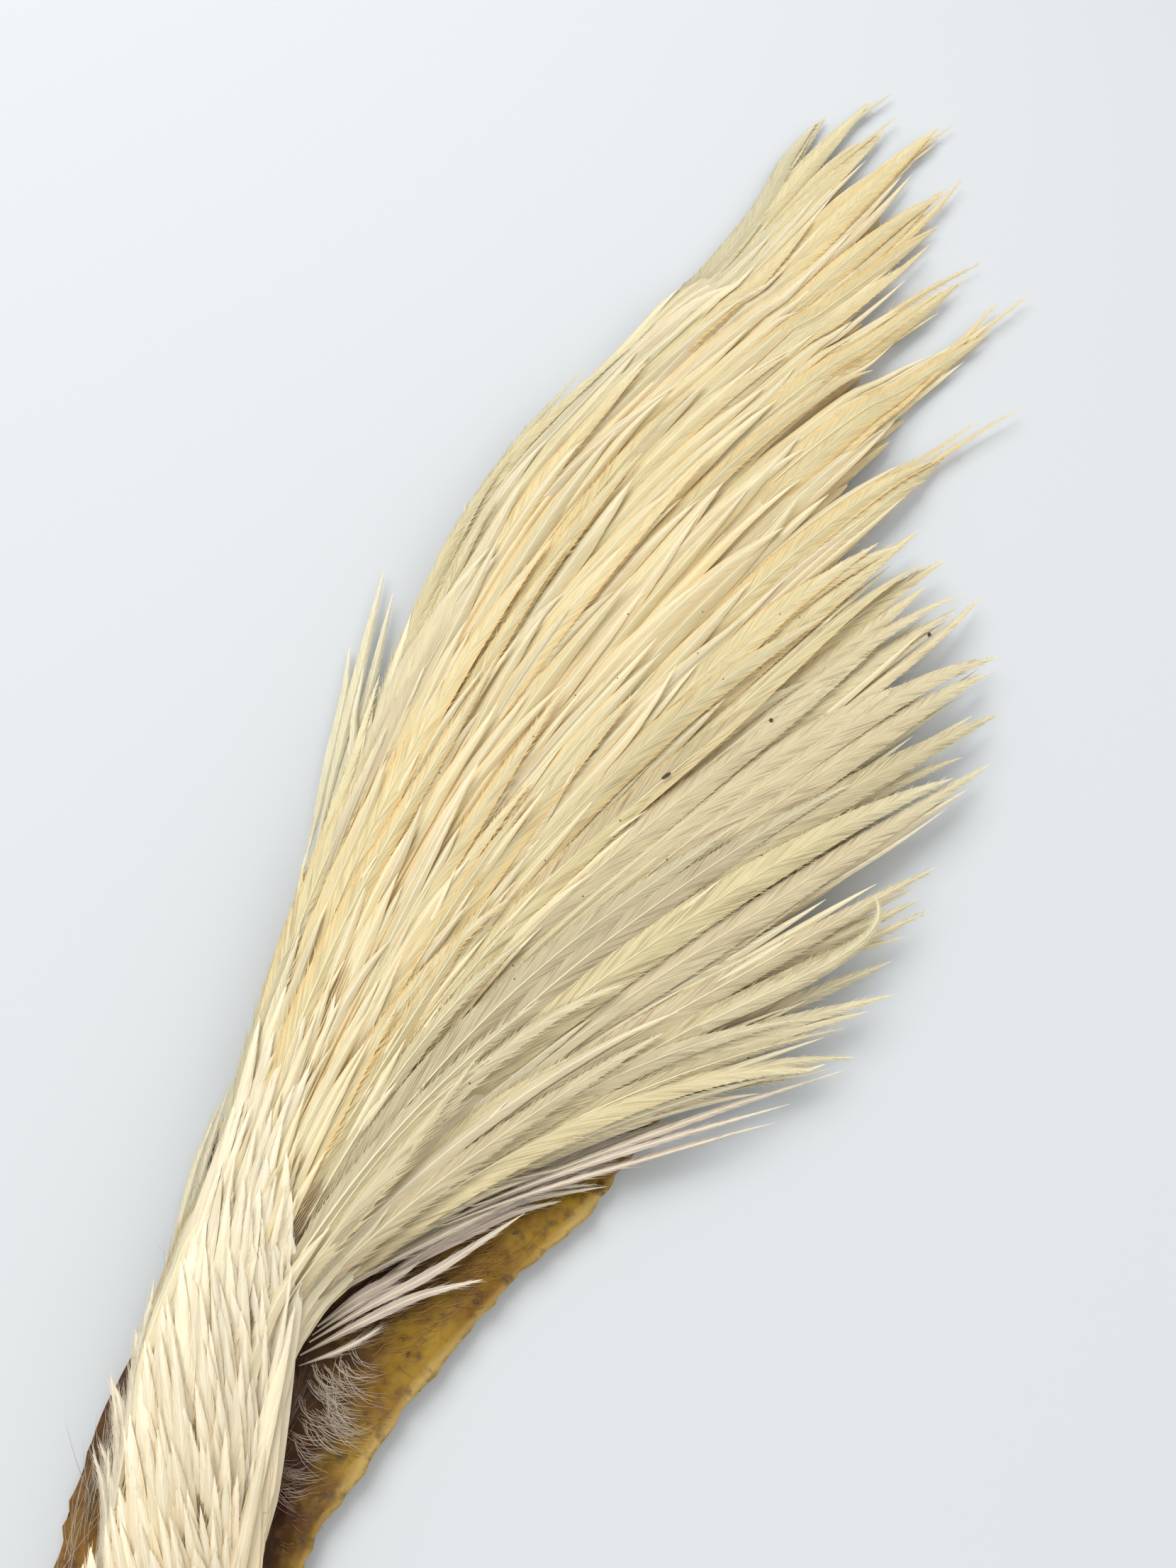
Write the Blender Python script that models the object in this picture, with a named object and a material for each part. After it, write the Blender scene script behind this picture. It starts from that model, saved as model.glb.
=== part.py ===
"""Rooster cape pelt: the dried neck skin of a rooster with its feathers on, lying feather side up.

+Y runs from the head end to the feather tips, +X to the side where the skin shows, +Z up.
The origin is on the skin's flat underside, on the neck, so the surface that the pelt lies on is Z = 0.
Every feather follows a strand of one fan: phi says which strand, from 0 at the left edge to 1 at the
right, and s is the distance along it from the head end.
"""

import bmesh
import bpy
import numpy as np
from mathutils import Vector

MM = 0.001
GAP = 0.3 * MM
EPS = 1e-9

# The skin: its edges as (y, x of the left edge, x of the right edge), from the head end to the back.
SKIN_EDGES = MM * np.array(
    [
        (-24, -5.0, 6.5),
        (-21, -7.7, 9.0),
        (-10, -8.8, 10.6),
        (0, -9.8, 12.6),
        (10, -9.7, 16.8),
        (20, -10.0, 22.6),
        (33, -10.9, 30.2),
        (45, -12.0, 34.0),
        (60, -12.8, 36.0),
        (80, -12.8, 38.0),
        (100, -12.4, 37.0),
        (118, -11.0, 33.5),
        (132, -7.0, 28.0),
        (142, -2.0, 22.0),
        (148, 4.0, 15.5),
    ]
)
SKIN_THICK = 1.4 * MM
SKIN_EDGE_THICK = 0.9 * MM
SKIN_COLUMNS = 8
SKIN_ROWS = 28
SKIN_NICK = 0.45 * MM
SKIN_CURL = 1.1 * MM

# The fan of strands, and how far each one reaches.
NECK_LEFT = -4.5 * MM
NECK_WIDTH = 13.0 * MM
HEAD_END = -22.0 * MM
STRANDS = np.array([0.0, 0.25, 0.5, 0.75, 1.0])
FAN_TURNS = (  # distance from the head end, and which way the strands point there, from +Y to +X
    (0, (-8, -7, -6, -5, -4)),
    (8, (-9, -9, -8, -8, -7)),
    (15, (-15, -15, -14, -14, -13)),
    (22, (-13, -14, -15, -15, -15)),
    (27, (0, -1, -3, -3, -2)),
    (31, (0, -1, -1, 4, 18)),
    (36, (0, -1, 0, 11, 40)),
    (41, (-10, -5, 0, 13, 42)),
    (50, (-10, -5, 2, 17, 48)),
    (58, (-9, -4, 4, 20, 52)),
    (80, (-2, 1, 9, 29, 54)),
    (115, (0, 6, 16, 31, 52)),
    (135, (7, 11, 19, 31, 48)),
    (150, (16, 16, 21, 32, 46)),
    (170, (20, 19, 24, 32, 42)),
    (205, (15, 19, 26, 32, 40)),
    (240, (12, 18, 26, 32, 40)),
    (290, (18, 22, 28, 34, 40)),
)
FAN_REACH = (  # strand, and its length from the head end
    (0.0, 291),
    (0.1, 286),
    (0.25, 284),
    (0.33, 268),
    (0.38, 256),
    (0.47, 243),
    (0.52, 224),
    (0.56, 208),
    (0.62, 182),
    (0.69, 164),
    (0.77, 162),
    (0.8, 154),
    (0.85, 138),
    (0.92, 112),
    (1.0, 92),
)
FIELD_STEP = 2.0 * MM
FIELD_PHI = np.linspace(-0.6, 1.6, 221)
FIELD_S = np.arange(0.0, 320 * MM, FIELD_STEP)

# The bed of lower feathers, one solid with a ridge for each lock of feathers.
BED_LOCKS = 28
BED_ROWS = 14
BED_LOCK_STRANDS = ((0, 0.15, 0.38, 0.68, 1), (0, 0.25, 0.5, 0.75, 1))  # locks are even in width
BED_EDGE_THICK = 0.8 * MM
BED_CROWN = 4.4 * MM
BED_RIDGE = 0.8 * MM
BED_TIP_THICK = 0.4 * MM
BED_NOTCH = 12 * MM
BED_SHORTER = 8 * MM
BED_OVER_SKIN = SKIN_THICK + 2 * GAP
DROOP_FROM = 19 * MM
DROOP_TO = 32 * MM

# The hackles that lie on the bed, in rows that overlap like shingles.
HACKLE_ROWS = (  # where the roots lie, how long and wide the feathers are, and their strands
    (36 * MM, 78 * MM, 4.4 * MM, (0.1, 0.27, 0.43, 0.57, 0.69, 0.79, 0.88, 0.95)),
    (63 * MM, 88 * MM, 4.8 * MM, (0.03, 0.17, 0.32, 0.46, 0.58, 0.68, 0.77, 0.85, 0.92, 0.98)),
    (91 * MM, 101 * MM, 5.0 * MM, (0.09, 0.24, 0.38, 0.5, 0.6, 0.68, 0.76, 0.83)),
    (119 * MM, 117 * MM, 5.0 * MM, (0.04, 0.16, 0.28, 0.39, 0.49, 0.58)),
    (147 * MM, 134 * MM, 5.0 * MM, (0.08, 0.2, 0.31, 0.4, 0.48)),
)
HACKLE_THICK = 0.8 * MM
HACKLE_STEP = HACKLE_THICK + 1.4 * GAP
HACKLE_STAGGER = 2.5 * MM
EDGE_RISE = 0.25
STATIONS = 10

# Hackles that stand clear of the fan: strand at the root, strand at the tip, root, length, width.
LOOSE_HACKLES = (
    (-0.08, -0.21, 70 * MM, 48 * MM, 1.6 * MM),
    (-0.23, -0.37, 60 * MM, 48 * MM, 1.6 * MM),
    (1.13, 1.1, 34 * MM, 54 * MM, 2.2 * MM),
    (1.2, 1.53, 30 * MM, 14 * MM, 1.8 * MM),
)
LOOSE_LANE = 0.15

# The short feathers on the neck.
NECK_ROWS = (
    (2 * MM, 16 * MM, (0.2, 0.5, 0.8)),
    (10.5 * MM, 18 * MM, (0.08, 0.36, 0.64, 0.92)),
    (20 * MM, 20 * MM, (0.2, 0.5, 0.8)),
    (29 * MM, 22 * MM, (0.08, 0.36, 0.64, 0.92)),
)
NECK_FEATHER_WIDTH = 3.8 * MM
NECK_FEATHER_THICK = 0.5 * MM
NECK_STEP = NECK_FEATHER_THICK + 1.4 * GAP
LIFT_RUN = 6 * MM  # a feather rises by one step over this length, and as far again before the root below

COLOURS = {
    "skin": ((0.52, 0.33, 0.09, 1), 0.55),
    "under": ((0.72, 0.62, 0.40, 1), 0.75),
    "hackle": ((0.83, 0.72, 0.48, 1), 0.7),
    "neck": ((0.88, 0.80, 0.62, 1), 0.7),
}


def ease(x):
    """0 up to x = 0, 1 from x = 1, and smooth between."""
    x = np.clip(x, 0.0, 1.0)
    return x * x * (3 - 2 * x)


def heading(phi, s):
    """The way a strand points at s, as an angle from +Y towards +X."""
    turns = [np.interp(phi, STRANDS, angles) for _, angles in FAN_TURNS]
    return np.radians(np.interp(s, [at * MM for at, _ in FAN_TURNS], turns))


def strand_field():
    """Points along every strand, as arrays of x and of y, over phi and then s."""
    turn = np.array([heading(phi, FIELD_S) for phi in FIELD_PHI])
    across = NECK_LEFT + NECK_WIDTH * FIELD_PHI[:, None]
    x = across + np.cumsum(np.sin(turn), axis=1) * FIELD_STEP
    y = HEAD_END + np.cumsum(np.cos(turn), axis=1) * FIELD_STEP
    return x, y


STRAND_X, STRAND_Y = strand_field()


def place(phi, s):
    """The point in plan at distance s along strand phi."""
    a = np.clip((phi - FIELD_PHI[0]) / (FIELD_PHI[1] - FIELD_PHI[0]), 0, len(FIELD_PHI) - 1.001)
    b = np.clip(s / FIELD_STEP, 0, len(FIELD_S) - 1.001)
    i, j = int(a), int(b)
    u, v = a - i, b - j
    across, along = (1 - u, u), (1 - v, v)
    return np.array([across @ field[i : i + 2, j : j + 2] @ along for field in (STRAND_X, STRAND_Y)])


def strand_spacing(phi, s):
    """How far apart at s two strands would lie that are one unit of phi apart."""
    step = 0.02
    return float(np.linalg.norm(place(phi + step, s) - place(phi - step, s))) / (2 * step)


def reach(phi):
    return MM * float(np.interp(phi, *np.transpose(FAN_REACH)))


def skin_edge(y):
    """x of the skin's left and right edges at y, with the small nicks of a cut hide."""
    left = np.interp(y, SKIN_EDGES[:, 0], SKIN_EDGES[:, 1])
    right = np.interp(y, SKIN_EDGES[:, 0], SKIN_EDGES[:, 2])
    left += SKIN_NICK * np.sin(y / (4.1 * MM))
    right += SKIN_NICK * (np.sin(y / (3.3 * MM)) + 0.6 * np.sin(y / (1.9 * MM) + 1))
    return left, right


def off_skin(point):
    """How far a point in plan lies outside the skin."""
    loop = np.concatenate([SKIN_EDGES[:, [1, 0]], SKIN_EDGES[::-1, [2, 0]]])
    inside, best = False, np.inf
    for a, b in zip(loop, np.roll(loop, -1, axis=0)):
        along = b - a
        t = np.clip((point - a) @ along / max(along @ along, EPS), 0, 1)
        best = min(best, float(np.linalg.norm(point - a - t * along)))
        if (a[1] > point[1]) != (b[1] > point[1]):
            if point[0] < a[0] + (point[1] - a[1]) / (b[1] - a[1]) * (b[0] - a[0]):
                inside = not inside
    return 0.0 if inside else best


def bed_bottom(phi, s):
    """Height of the bed's underside: over the skin, then down to the surface beyond it."""
    drop = ease((off_skin(place(phi, s)) - DROOP_FROM) / (DROOP_TO - DROOP_FROM))
    return BED_OVER_SKIN * (1 - drop)


def bed_thickness(phi, s):
    """The bed's thickness without its ridges."""
    phi = float(np.clip(phi, 0, 1))
    end = reach(phi)
    across = (4 * phi * (1 - phi)) ** 0.7
    along = (0.45 + 0.55 * ease(s / (25 * MM))) * (1 - 0.72 * ease((s / end - 0.3) / 0.6))
    full = BED_EDGE_THICK + BED_CROWN * across * along
    tip = ease((s / end - 0.82) / 0.18)
    return full * (1 - tip) + BED_TIP_THICK * tip


def bed_cover(phi, s):
    """Height that clears the bed, ridges and all: where the top feathers lie."""
    return bed_bottom(phi, s) + bed_thickness(phi, s) + BED_RIDGE + 2 * GAP


def material(name, colour, roughness):
    made = bpy.data.materials.new(name)
    made.use_nodes = True
    shader = made.node_tree.nodes["Principled BSDF"]
    shader.inputs["Base Color"].default_value = colour
    shader.inputs["Roughness"].default_value = roughness
    shader.inputs["Metallic"].default_value = 0
    made.diffuse_color = colour
    return made


def finish(mesh, name, finish_name, origin=(0, 0, 0), grows_from=None):
    """Turns a bmesh into a named object with its material, set on the skin by its own origin."""
    bmesh.ops.recalc_face_normals(mesh, faces=mesh.faces)
    bmesh.ops.translate(mesh, verts=mesh.verts, vec=-Vector(origin))
    data = bpy.data.meshes.new(name)
    mesh.to_mesh(data)
    mesh.free()
    data.shade_smooth()
    data.set_sharp_from_angle(angle=np.radians(40))
    data.materials.append(MATERIALS[finish_name])
    made = bpy.data.objects.new(name, data)
    made.location = origin
    made.parent = grows_from
    bpy.context.scene.collection.objects.link(made)
    return made


def sheet(name, columns, rows, top, bottom, finish_name, grows_from=None):
    """A closed sheet: a grid set on bottom(u, v), and its extrusion set on top(u, v)."""
    mesh = bmesh.new()
    bmesh.ops.create_grid(mesh, x_segments=columns, y_segments=rows, size=0.5)
    lower = {vert: (vert.co.x + 0.5, vert.co.y + 0.5) for vert in mesh.verts}
    ends = bmesh.ops.extrude_face_region(mesh, geom=list(mesh.faces))["geom"]
    upper = {
        vert: (vert.co.x + 0.5, vert.co.y + 0.5)
        for vert in ends
        if isinstance(vert, bmesh.types.BMVert)
    }
    for vert, (u, v) in lower.items():
        vert.co = bottom(u, v)
    for vert, (u, v) in upper.items():
        vert.co = top(u, v)
    return finish(mesh, name, finish_name, grows_from=grows_from)


def skin():
    """The dried hide: a thin tapered sheet, flat below, whose bare right edge curls up a little."""
    first, last = SKIN_EDGES[0, 0], SKIN_EDGES[-1, 0]

    def surface(u, v, raised):
        y = first + (last - first) * v
        left, right = skin_edge(y)
        x = left + (right - left) * u
        rim = max(ease((0.16 - u) / 0.16), ease((u - 0.84) / 0.16))
        rim = max(rim, ease((0.05 - v) / 0.05), ease((v - 0.95) / 0.05))
        curl = SKIN_CURL * ease((u - 0.88) / 0.12) * ease((60 * MM - y) / (30 * MM))
        thick = SKIN_THICK + (SKIN_EDGE_THICK - SKIN_THICK) * rim
        return x, y, curl + (thick if raised else 0.0)

    return sheet(
        "skin",
        SKIN_COLUMNS,
        SKIN_ROWS,
        lambda u, v: surface(u, v, True),
        lambda u, v: surface(u, v, False),
        "skin",
    )


def bed(hide):
    """The lower feathers as one solid, ridged along its locks and ending in their points."""
    columns = 2 * BED_LOCKS

    def surface(u, v, raised):
        column = round(u * columns)
        ridge = column % 2
        phi = float(np.interp(u, *BED_LOCK_STRANDS))
        end = reach(phi) - BED_SHORTER * (0.5 + 0.5 * np.sin(2.4 * (column // 2)))
        if not ridge:
            end -= BED_NOTCH
        s = 2 * MM + (end - 2 * MM) * v
        x, y = place(phi, s)
        z = bed_bottom(phi, s)
        if raised:
            fade = 1 - ease((v - 0.8) / 0.2)
            z += bed_thickness(phi, s) + ridge * BED_RIDGE * fade
        return x, y, z

    return sheet(
        "under_hackles",
        columns,
        BED_ROWS,
        lambda u, v: surface(u, v, True),
        lambda u, v: surface(u, v, False),
        "under",
        hide,
    )


def vane_outline(t):
    """The feather's width along its length, from quill to point, as a share of the widest."""
    return max(0.0, min(1.0, 0.3 + 3.2 * t)) * (1 - t**2.6) ** 0.9


def feather(hide, name, phi_root, phi_tip, root, length, width, lane, thick, height, finish_name):
    """One feather: a slim roofed blade along a strand, built of rings bridged from quill to point.

    It keeps inside its lane, the share of the fan between its neighbours.
    """
    mesh = bmesh.new()
    rings = []
    for k in range(STATIONS):
        t = k / STATIONS
        s = root + length * t
        phi = phi_root + (phi_tip - phi_root) * ease(t)
        spacing = strand_spacing(phi, s)
        half = min(0.5 * width * vane_outline(t), 0.5 * lane * spacing - 0.5 * GAP) / spacing
        body = thick * (0.55 + 0.45 * vane_outline(t)) * (1 - 0.5 * t)
        corners = (
            (phi - half, EDGE_RISE * body),
            (phi, body),
            (phi + half, EDGE_RISE * body),
            (phi, 0.0),
        )
        verts = [
            mesh.verts.new((*place(p, s), height(p, s) + rise)) for p, rise in corners
        ]
        edges = [mesh.edges.new((verts[i], verts[(i + 1) % 4])) for i in range(4)]
        rings.append((verts, edges))
    for (_, lower), (_, upper) in zip(rings, rings[1:]):
        bmesh.ops.bridge_loops(mesh, edges=lower + upper)
    mesh.faces.new(rings[0][0])
    end = root + length
    point = mesh.verts.new((*place(phi_tip, end), height(phi_tip, end) + 0.2 * thick))
    last = rings[-1][0]
    for i in range(4):
        mesh.faces.new((last[i], last[(i + 1) % 4], point))
    quill = (*place(phi_root, root), height(phi_root, root))
    return finish(mesh, name, finish_name, quill, hide)


def lying_on(rows):
    """Height of a feather that lies on the bed and on the roots of these rows: (root, step) each."""

    def height(phi, s):
        climbs = [step * ease((s - root) / LIFT_RUN + 2) for root, step in rows]
        return bed_cover(phi, s) + sum(climbs)

    return height


def loose_height(phi, s):
    """Beside the bed, level with its underside."""
    return bed_bottom(phi, s) + GAP


def lanes(strands):
    """For each strand the width of its lane: the distance to the nearer neighbour."""
    between = np.diff(strands)
    return np.minimum(np.append(between[:1], between), np.append(between, between[-1:]))


def hackles(hide):
    count = 0
    for row, (root, length, width, strands) in enumerate(HACKLE_ROWS):
        below = [(r - HACKLE_STAGGER, HACKLE_STEP) for r, *_ in HACKLE_ROWS[row + 1 :]]
        for k, (phi, lane) in enumerate(zip(strands, lanes(strands))):
            count += 1
            start = root + HACKLE_STAGGER * np.sin(2.1 * k + row)
            stretch = length * (1 + 0.08 * np.sin(3.7 * k + 1.3 * row))
            feather(
                hide,
                f"hackle_{count:02d}",
                phi,
                phi,
                start,
                min(stretch, reach(phi) + 3 * MM - start),
                width,
                lane,
                HACKLE_THICK,
                lying_on(below),
                "hackle",
            )
    for k, (phi_root, phi_tip, root, length, width) in enumerate(LOOSE_HACKLES, 1):
        feather(
            hide,
            f"loose_hackle_{k}",
            phi_root,
            phi_tip,
            root,
            length,
            width,
            LOOSE_LANE,
            HACKLE_THICK,
            loose_height,
            "hackle",
        )


def neck_feathers(hide):
    count = 0
    first_hackles = [(HACKLE_ROWS[0][0] - HACKLE_STAGGER, HACKLE_STEP)]
    for row, (root, length, strands) in enumerate(NECK_ROWS):
        below = [(r, NECK_STEP) for r, *_ in NECK_ROWS[row + 1 :]] + first_hackles
        for phi, lane in zip(strands, lanes(strands)):
            count += 1
            feather(
                hide,
                f"neck_feather_{count:02d}",
                phi,
                phi,
                root,
                length,
                NECK_FEATHER_WIDTH,
                lane,
                NECK_FEATHER_THICK,
                lying_on(below),
                "neck",
            )


def clear_scene():
    for old in list(bpy.data.objects):
        bpy.data.objects.remove(old)


clear_scene()
MATERIALS = {name: material(name, *look) for name, look in COLOURS.items()}
hide = skin()
bed(hide)
hackles(hide)
neck_feathers(hide)
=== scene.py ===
import math

import bpy
import numpy as np
from mathutils import Matrix


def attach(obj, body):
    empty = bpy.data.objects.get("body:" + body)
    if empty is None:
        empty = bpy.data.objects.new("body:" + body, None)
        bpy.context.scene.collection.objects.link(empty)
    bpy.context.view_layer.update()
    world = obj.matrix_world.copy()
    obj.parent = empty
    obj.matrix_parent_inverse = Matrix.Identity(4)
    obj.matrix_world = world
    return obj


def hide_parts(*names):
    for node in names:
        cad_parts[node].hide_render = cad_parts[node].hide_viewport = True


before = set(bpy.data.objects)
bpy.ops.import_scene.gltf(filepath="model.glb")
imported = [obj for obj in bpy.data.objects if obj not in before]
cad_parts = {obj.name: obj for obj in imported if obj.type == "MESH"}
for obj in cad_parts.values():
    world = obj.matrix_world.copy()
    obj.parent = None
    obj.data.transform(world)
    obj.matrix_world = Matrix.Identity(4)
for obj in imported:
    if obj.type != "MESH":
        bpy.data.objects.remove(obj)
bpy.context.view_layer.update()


# THE HIDE
# Dried skin of the neck, scraped flat below: waxy yellow ochre where it is bare on the right, brown where
# the down was plucked, with a paler cut rim. It is the CAD sheet subdivided and then wrinkled, pitted and
# nicked.
MM = 0.001
HIDE_EDGES = MM * np.array(
    [  # y, and x of the left and right edges
        (-24, -5.0, 6.5), (-21, -7.7, 9.0), (-10, -8.8, 10.6), (0, -9.8, 12.6), (10, -9.7, 16.8),
        (20, -10.0, 22.6), (33, -10.9, 30.2), (45, -12.0, 34.0), (60, -12.8, 36.0), (80, -12.8, 38.0),
        (100, -12.4, 37.0), (118, -11.0, 33.5), (132, -7.0, 28.0), (142, -2.0, 22.0), (148, 4.0, 15.5),
    ]
)
HIDE_HEAD, HIDE_END = HIDE_EDGES[[0, -1], 0]
HIDE_RIM = 2.2 * MM
HIDE_RIM_WAVE = 0.12 * MM
HIDE_WRINKLE = 0.13 * MM
HIDE_PORE = 0.08 * MM
HIDE_NICK = 0.15 * MM


def ease(x):
    x = np.clip(x, 0.0, 1.0)
    return x * x * (3 - 2 * x)


def past(place, start, over):
    """0 before start, 1 from over beyond it, smooth between. The place is in metres, the others in mm."""
    return ease((place - start * MM) / (over * MM))


def ripple(x, y, size, seed, waves=10):
    """A smooth random surface from about -1 to 1, whose bumps are about size across."""
    rng = np.random.default_rng(seed)
    total = np.zeros_like(x)
    for _ in range(waves):
        turn = rng.uniform(0, 2 * math.pi)
        pitch = size * rng.uniform(0.7, 1.6)
        lean = (x * math.cos(turn) + y * math.sin(turn)) * 2 * math.pi / pitch
        total += np.sin(lean + rng.uniform(0, 2 * math.pi))
    return total / math.sqrt(waves)


def wrinkle_hide(mesh):
    """Wrinkles and pores on top, nicks at the cut edge. How near the rim a point lies is stored on it."""
    co = np.empty(len(mesh.vertices) * 3)
    mesh.vertices.foreach_get("co", co)
    co = co.reshape(-1, 3)
    x, y, z = co.T.copy()
    left, right = (np.interp(y, HIDE_EDGES[:, 0], HIDE_EDGES[:, column]) for column in (1, 2))
    inward = np.minimum(np.minimum(x - left, right - x), np.minimum(y - HIDE_HEAD, HIDE_END - y))
    rim = 1 - ease(inward / HIDE_RIM)
    wrinkles = ripple(x, y, 5 * MM, 3) + 0.6 * ripple(x, y, 2.2 * MM, 4)
    pores = np.maximum(0, ripple(x, y, 0.9 * MM, 5) - 0.5)
    rise = HIDE_WRINKLE * wrinkles - HIDE_PORE * pores + HIDE_RIM_WAVE * rim * ripple(x, y, 1.4 * MM, 6)
    co[:, 2] += past(z, 0.35, 0.5) * rise
    nicks = ripple(x, y, 2.6 * MM, 7) + 0.8 * ripple(x, y, 1.0 * MM, 8)
    co[:, 0] += np.where(x > 0.5 * (left + right), 1.0, -1.0) * rim * HIDE_NICK * nicks
    co[:, 2] = np.maximum(co[:, 2], 0.0)
    mesh.vertices.foreach_set("co", co.ravel())
    mesh.attributes.new("rim", "FLOAT", "POINT").data.foreach_set("value", rim)


bpy.ops.object.select_all(action="DESELECT")
hide = bpy.data.objects.new("hide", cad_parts["skin"].data.copy())
bpy.context.scene.collection.objects.link(hide)
bpy.context.view_layer.objects.active = hide
hide.select_set(True)
bpy.ops.object.mode_set(mode="EDIT")
bpy.ops.mesh.select_all(action="SELECT")
bpy.ops.mesh.remove_doubles(threshold=0.00001)
bpy.ops.mesh.tris_convert_to_quads()
bpy.ops.mesh.subdivide(number_cuts=6)
bpy.ops.mesh.normals_make_consistent(inside=False)
bpy.ops.object.mode_set(mode="OBJECT")
wrinkle_hide(hide.data)
bpy.ops.object.shade_smooth()


def node(tree, kind, **values):
    made = tree.nodes.new(kind)
    for key, value in values.items():
        setattr(made, key, value)
    return made


def join(source, target):
    source.id_data.links.new(source, target)


def fill(made, **values):
    """Set a node's sockets. An underscore stands for the space in a socket's name."""
    for key, value in values.items():
        made.inputs[key.replace("_", " ")].default_value = value


def math_node(operation, first, second=None):
    made = node(first.id_data, "ShaderNodeMath", operation=operation)
    for socket, value in zip(made.inputs, (first, second)):
        if isinstance(value, bpy.types.NodeSocket):
            join(value, socket)
        elif value is not None:
            socket.default_value = value
    return made.outputs[0]


def times(first, second):
    return math_node("MULTIPLY", first, second)


def blend_colour(amount, first, second, mode="MIX"):
    tree = (first if mode == "MULTIPLY" else amount).id_data
    made = node(tree, "ShaderNodeMix", data_type="RGBA", blend_type=mode, clamp_factor=True)
    for socket, value in ((made.inputs[0], amount), (made.inputs[6], first), (made.inputs[7], second)):
        if isinstance(value, bpy.types.NodeSocket):
            join(value, socket)
        else:
            socket.default_value = (*value, 1) if isinstance(value, tuple) else value
    return made.outputs[2]


def spread(value, low, high, to_low=0.0, to_high=1.0):
    """Stretch the range from low to high over another one, and hold it at the ends."""
    made = node(value.id_data, "ShaderNodeMapRange", clamp=True)
    fill(made, From_Min=low, From_Max=high, To_Min=to_low, To_Max=to_high)
    join(value, made.inputs["Value"])
    return made.outputs["Result"]


def cloud(where, size_mm, detail=3):
    """Noise on metres: its blotches are about size_mm across."""
    mapping = node(where.id_data, "ShaderNodeMapping")
    fill(mapping, Scale=[1000 / size_mm] * 3)
    join(where, mapping.inputs["Vector"])
    noise = node(where.id_data, "ShaderNodeTexNoise")
    fill(noise, Scale=1.0, Detail=detail)
    join(mapping.outputs[0], noise.inputs["Vector"])
    return noise.outputs["Fac"]


def axes_of(source):
    """X, Y and Z of a vector."""
    made = node(source.id_data, "ShaderNodeSeparateXYZ")
    join(source, made.inputs[0])
    return tuple(made.outputs)


def new_finish(name, roughness):
    made = bpy.data.materials.new(name)
    made.use_nodes = True
    shader = made.node_tree.nodes["Principled BSDF"]
    fill(shader, Roughness=roughness)
    return made, made.node_tree, shader


def bump(shader, height, distance):
    made = node(shader.id_data, "ShaderNodeBump")
    fill(made, Strength=0.8, Distance=distance)
    join(height, made.inputs["Height"])
    join(made.outputs["Normal"], shader.inputs["Normal"])


def hide_finish():
    """Blotched brown, golden where it is bare, red-brown between, paler at the rim, with fine spots."""
    made, tree, shader = new_finish("waxy_hide", 0.5)
    where = node(tree, "ShaderNodeTexCoord").outputs["Object"]
    x, y, _ = axes_of(where)
    rim = node(tree, "ShaderNodeAttribute", attribute_name="rim").outputs["Fac"]
    broad, fine = cloud(where, 7, 4), cloud(where, 1.4, 5)
    brown = blend_colour(spread(broad, 0.35, 0.65), (0.100, 0.044, 0.012), (0.046, 0.020, 0.008))
    golden = blend_colour(spread(broad, 0.4, 0.6), (0.185, 0.092, 0.009), (0.30, 0.18, 0.012))
    fuzzy = math_node("ADD", y, times(broad, 0.012))
    golden = blend_colour(spread(fuzzy, 0.004, -0.004), golden, (0.27, 0.14, 0.035))
    slope = math_node("SUBTRACT", x, times(math_node("MAXIMUM", y, 0.0), 0.40))
    slope = math_node("ADD", slope, times(broad, 0.006))
    slope = math_node("SUBTRACT", slope, spread(y, 0.006, 0.002, 0.0, 0.003))
    outer, low = spread(slope, 0.0085, 0.012), spread(fuzzy, -0.0005, -0.005)
    colour = blend_colour(math_node("MAXIMUM", outer, low), brown, golden)
    red = times(spread(cloud(where, 3.4, 2), 0.50, 0.60), spread(fuzzy, 0.010, 0.006))
    red = times(red, spread(fuzzy, -0.001, 0.003))
    colour = blend_colour(times(red, 0.7), colour, (0.065, 0.014, 0.008))
    edge = times(spread(rim, 0.5, 1.0, 0.0, 0.7), spread(x, -0.004, 0.004))
    colour = blend_colour(edge, colour, (0.50, 0.36, 0.13))
    colour = blend_colour(spread(fine, 0.5, 0.72, 0.0, 0.4), colour, (0.34, 0.21, 0.05))
    colour = blend_colour(spread(fine, 0.48, 0.3, 0.0, 0.75), colour, (0.05, 0.024, 0.012))
    join(colour, shader.inputs["Base Color"])
    fill(shader, Subsurface_Weight=0.1, Subsurface_Radius=(0.9, 0.45, 0.15), Subsurface_Scale=0.001)
    fill(shader, Specular_IOR_Level=0.16)
    join(spread(fine, 0.3, 0.7, 0.36, 0.6), shader.inputs["Roughness"])
    bump(shader, math_node("ADD", fine, times(cloud(where, 0.4), 0.6)), 0.00014)
    return made


hide.data.materials.clear()
hide.data.materials.append(hide_finish())
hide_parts("skin")
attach(hide, "root")
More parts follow.
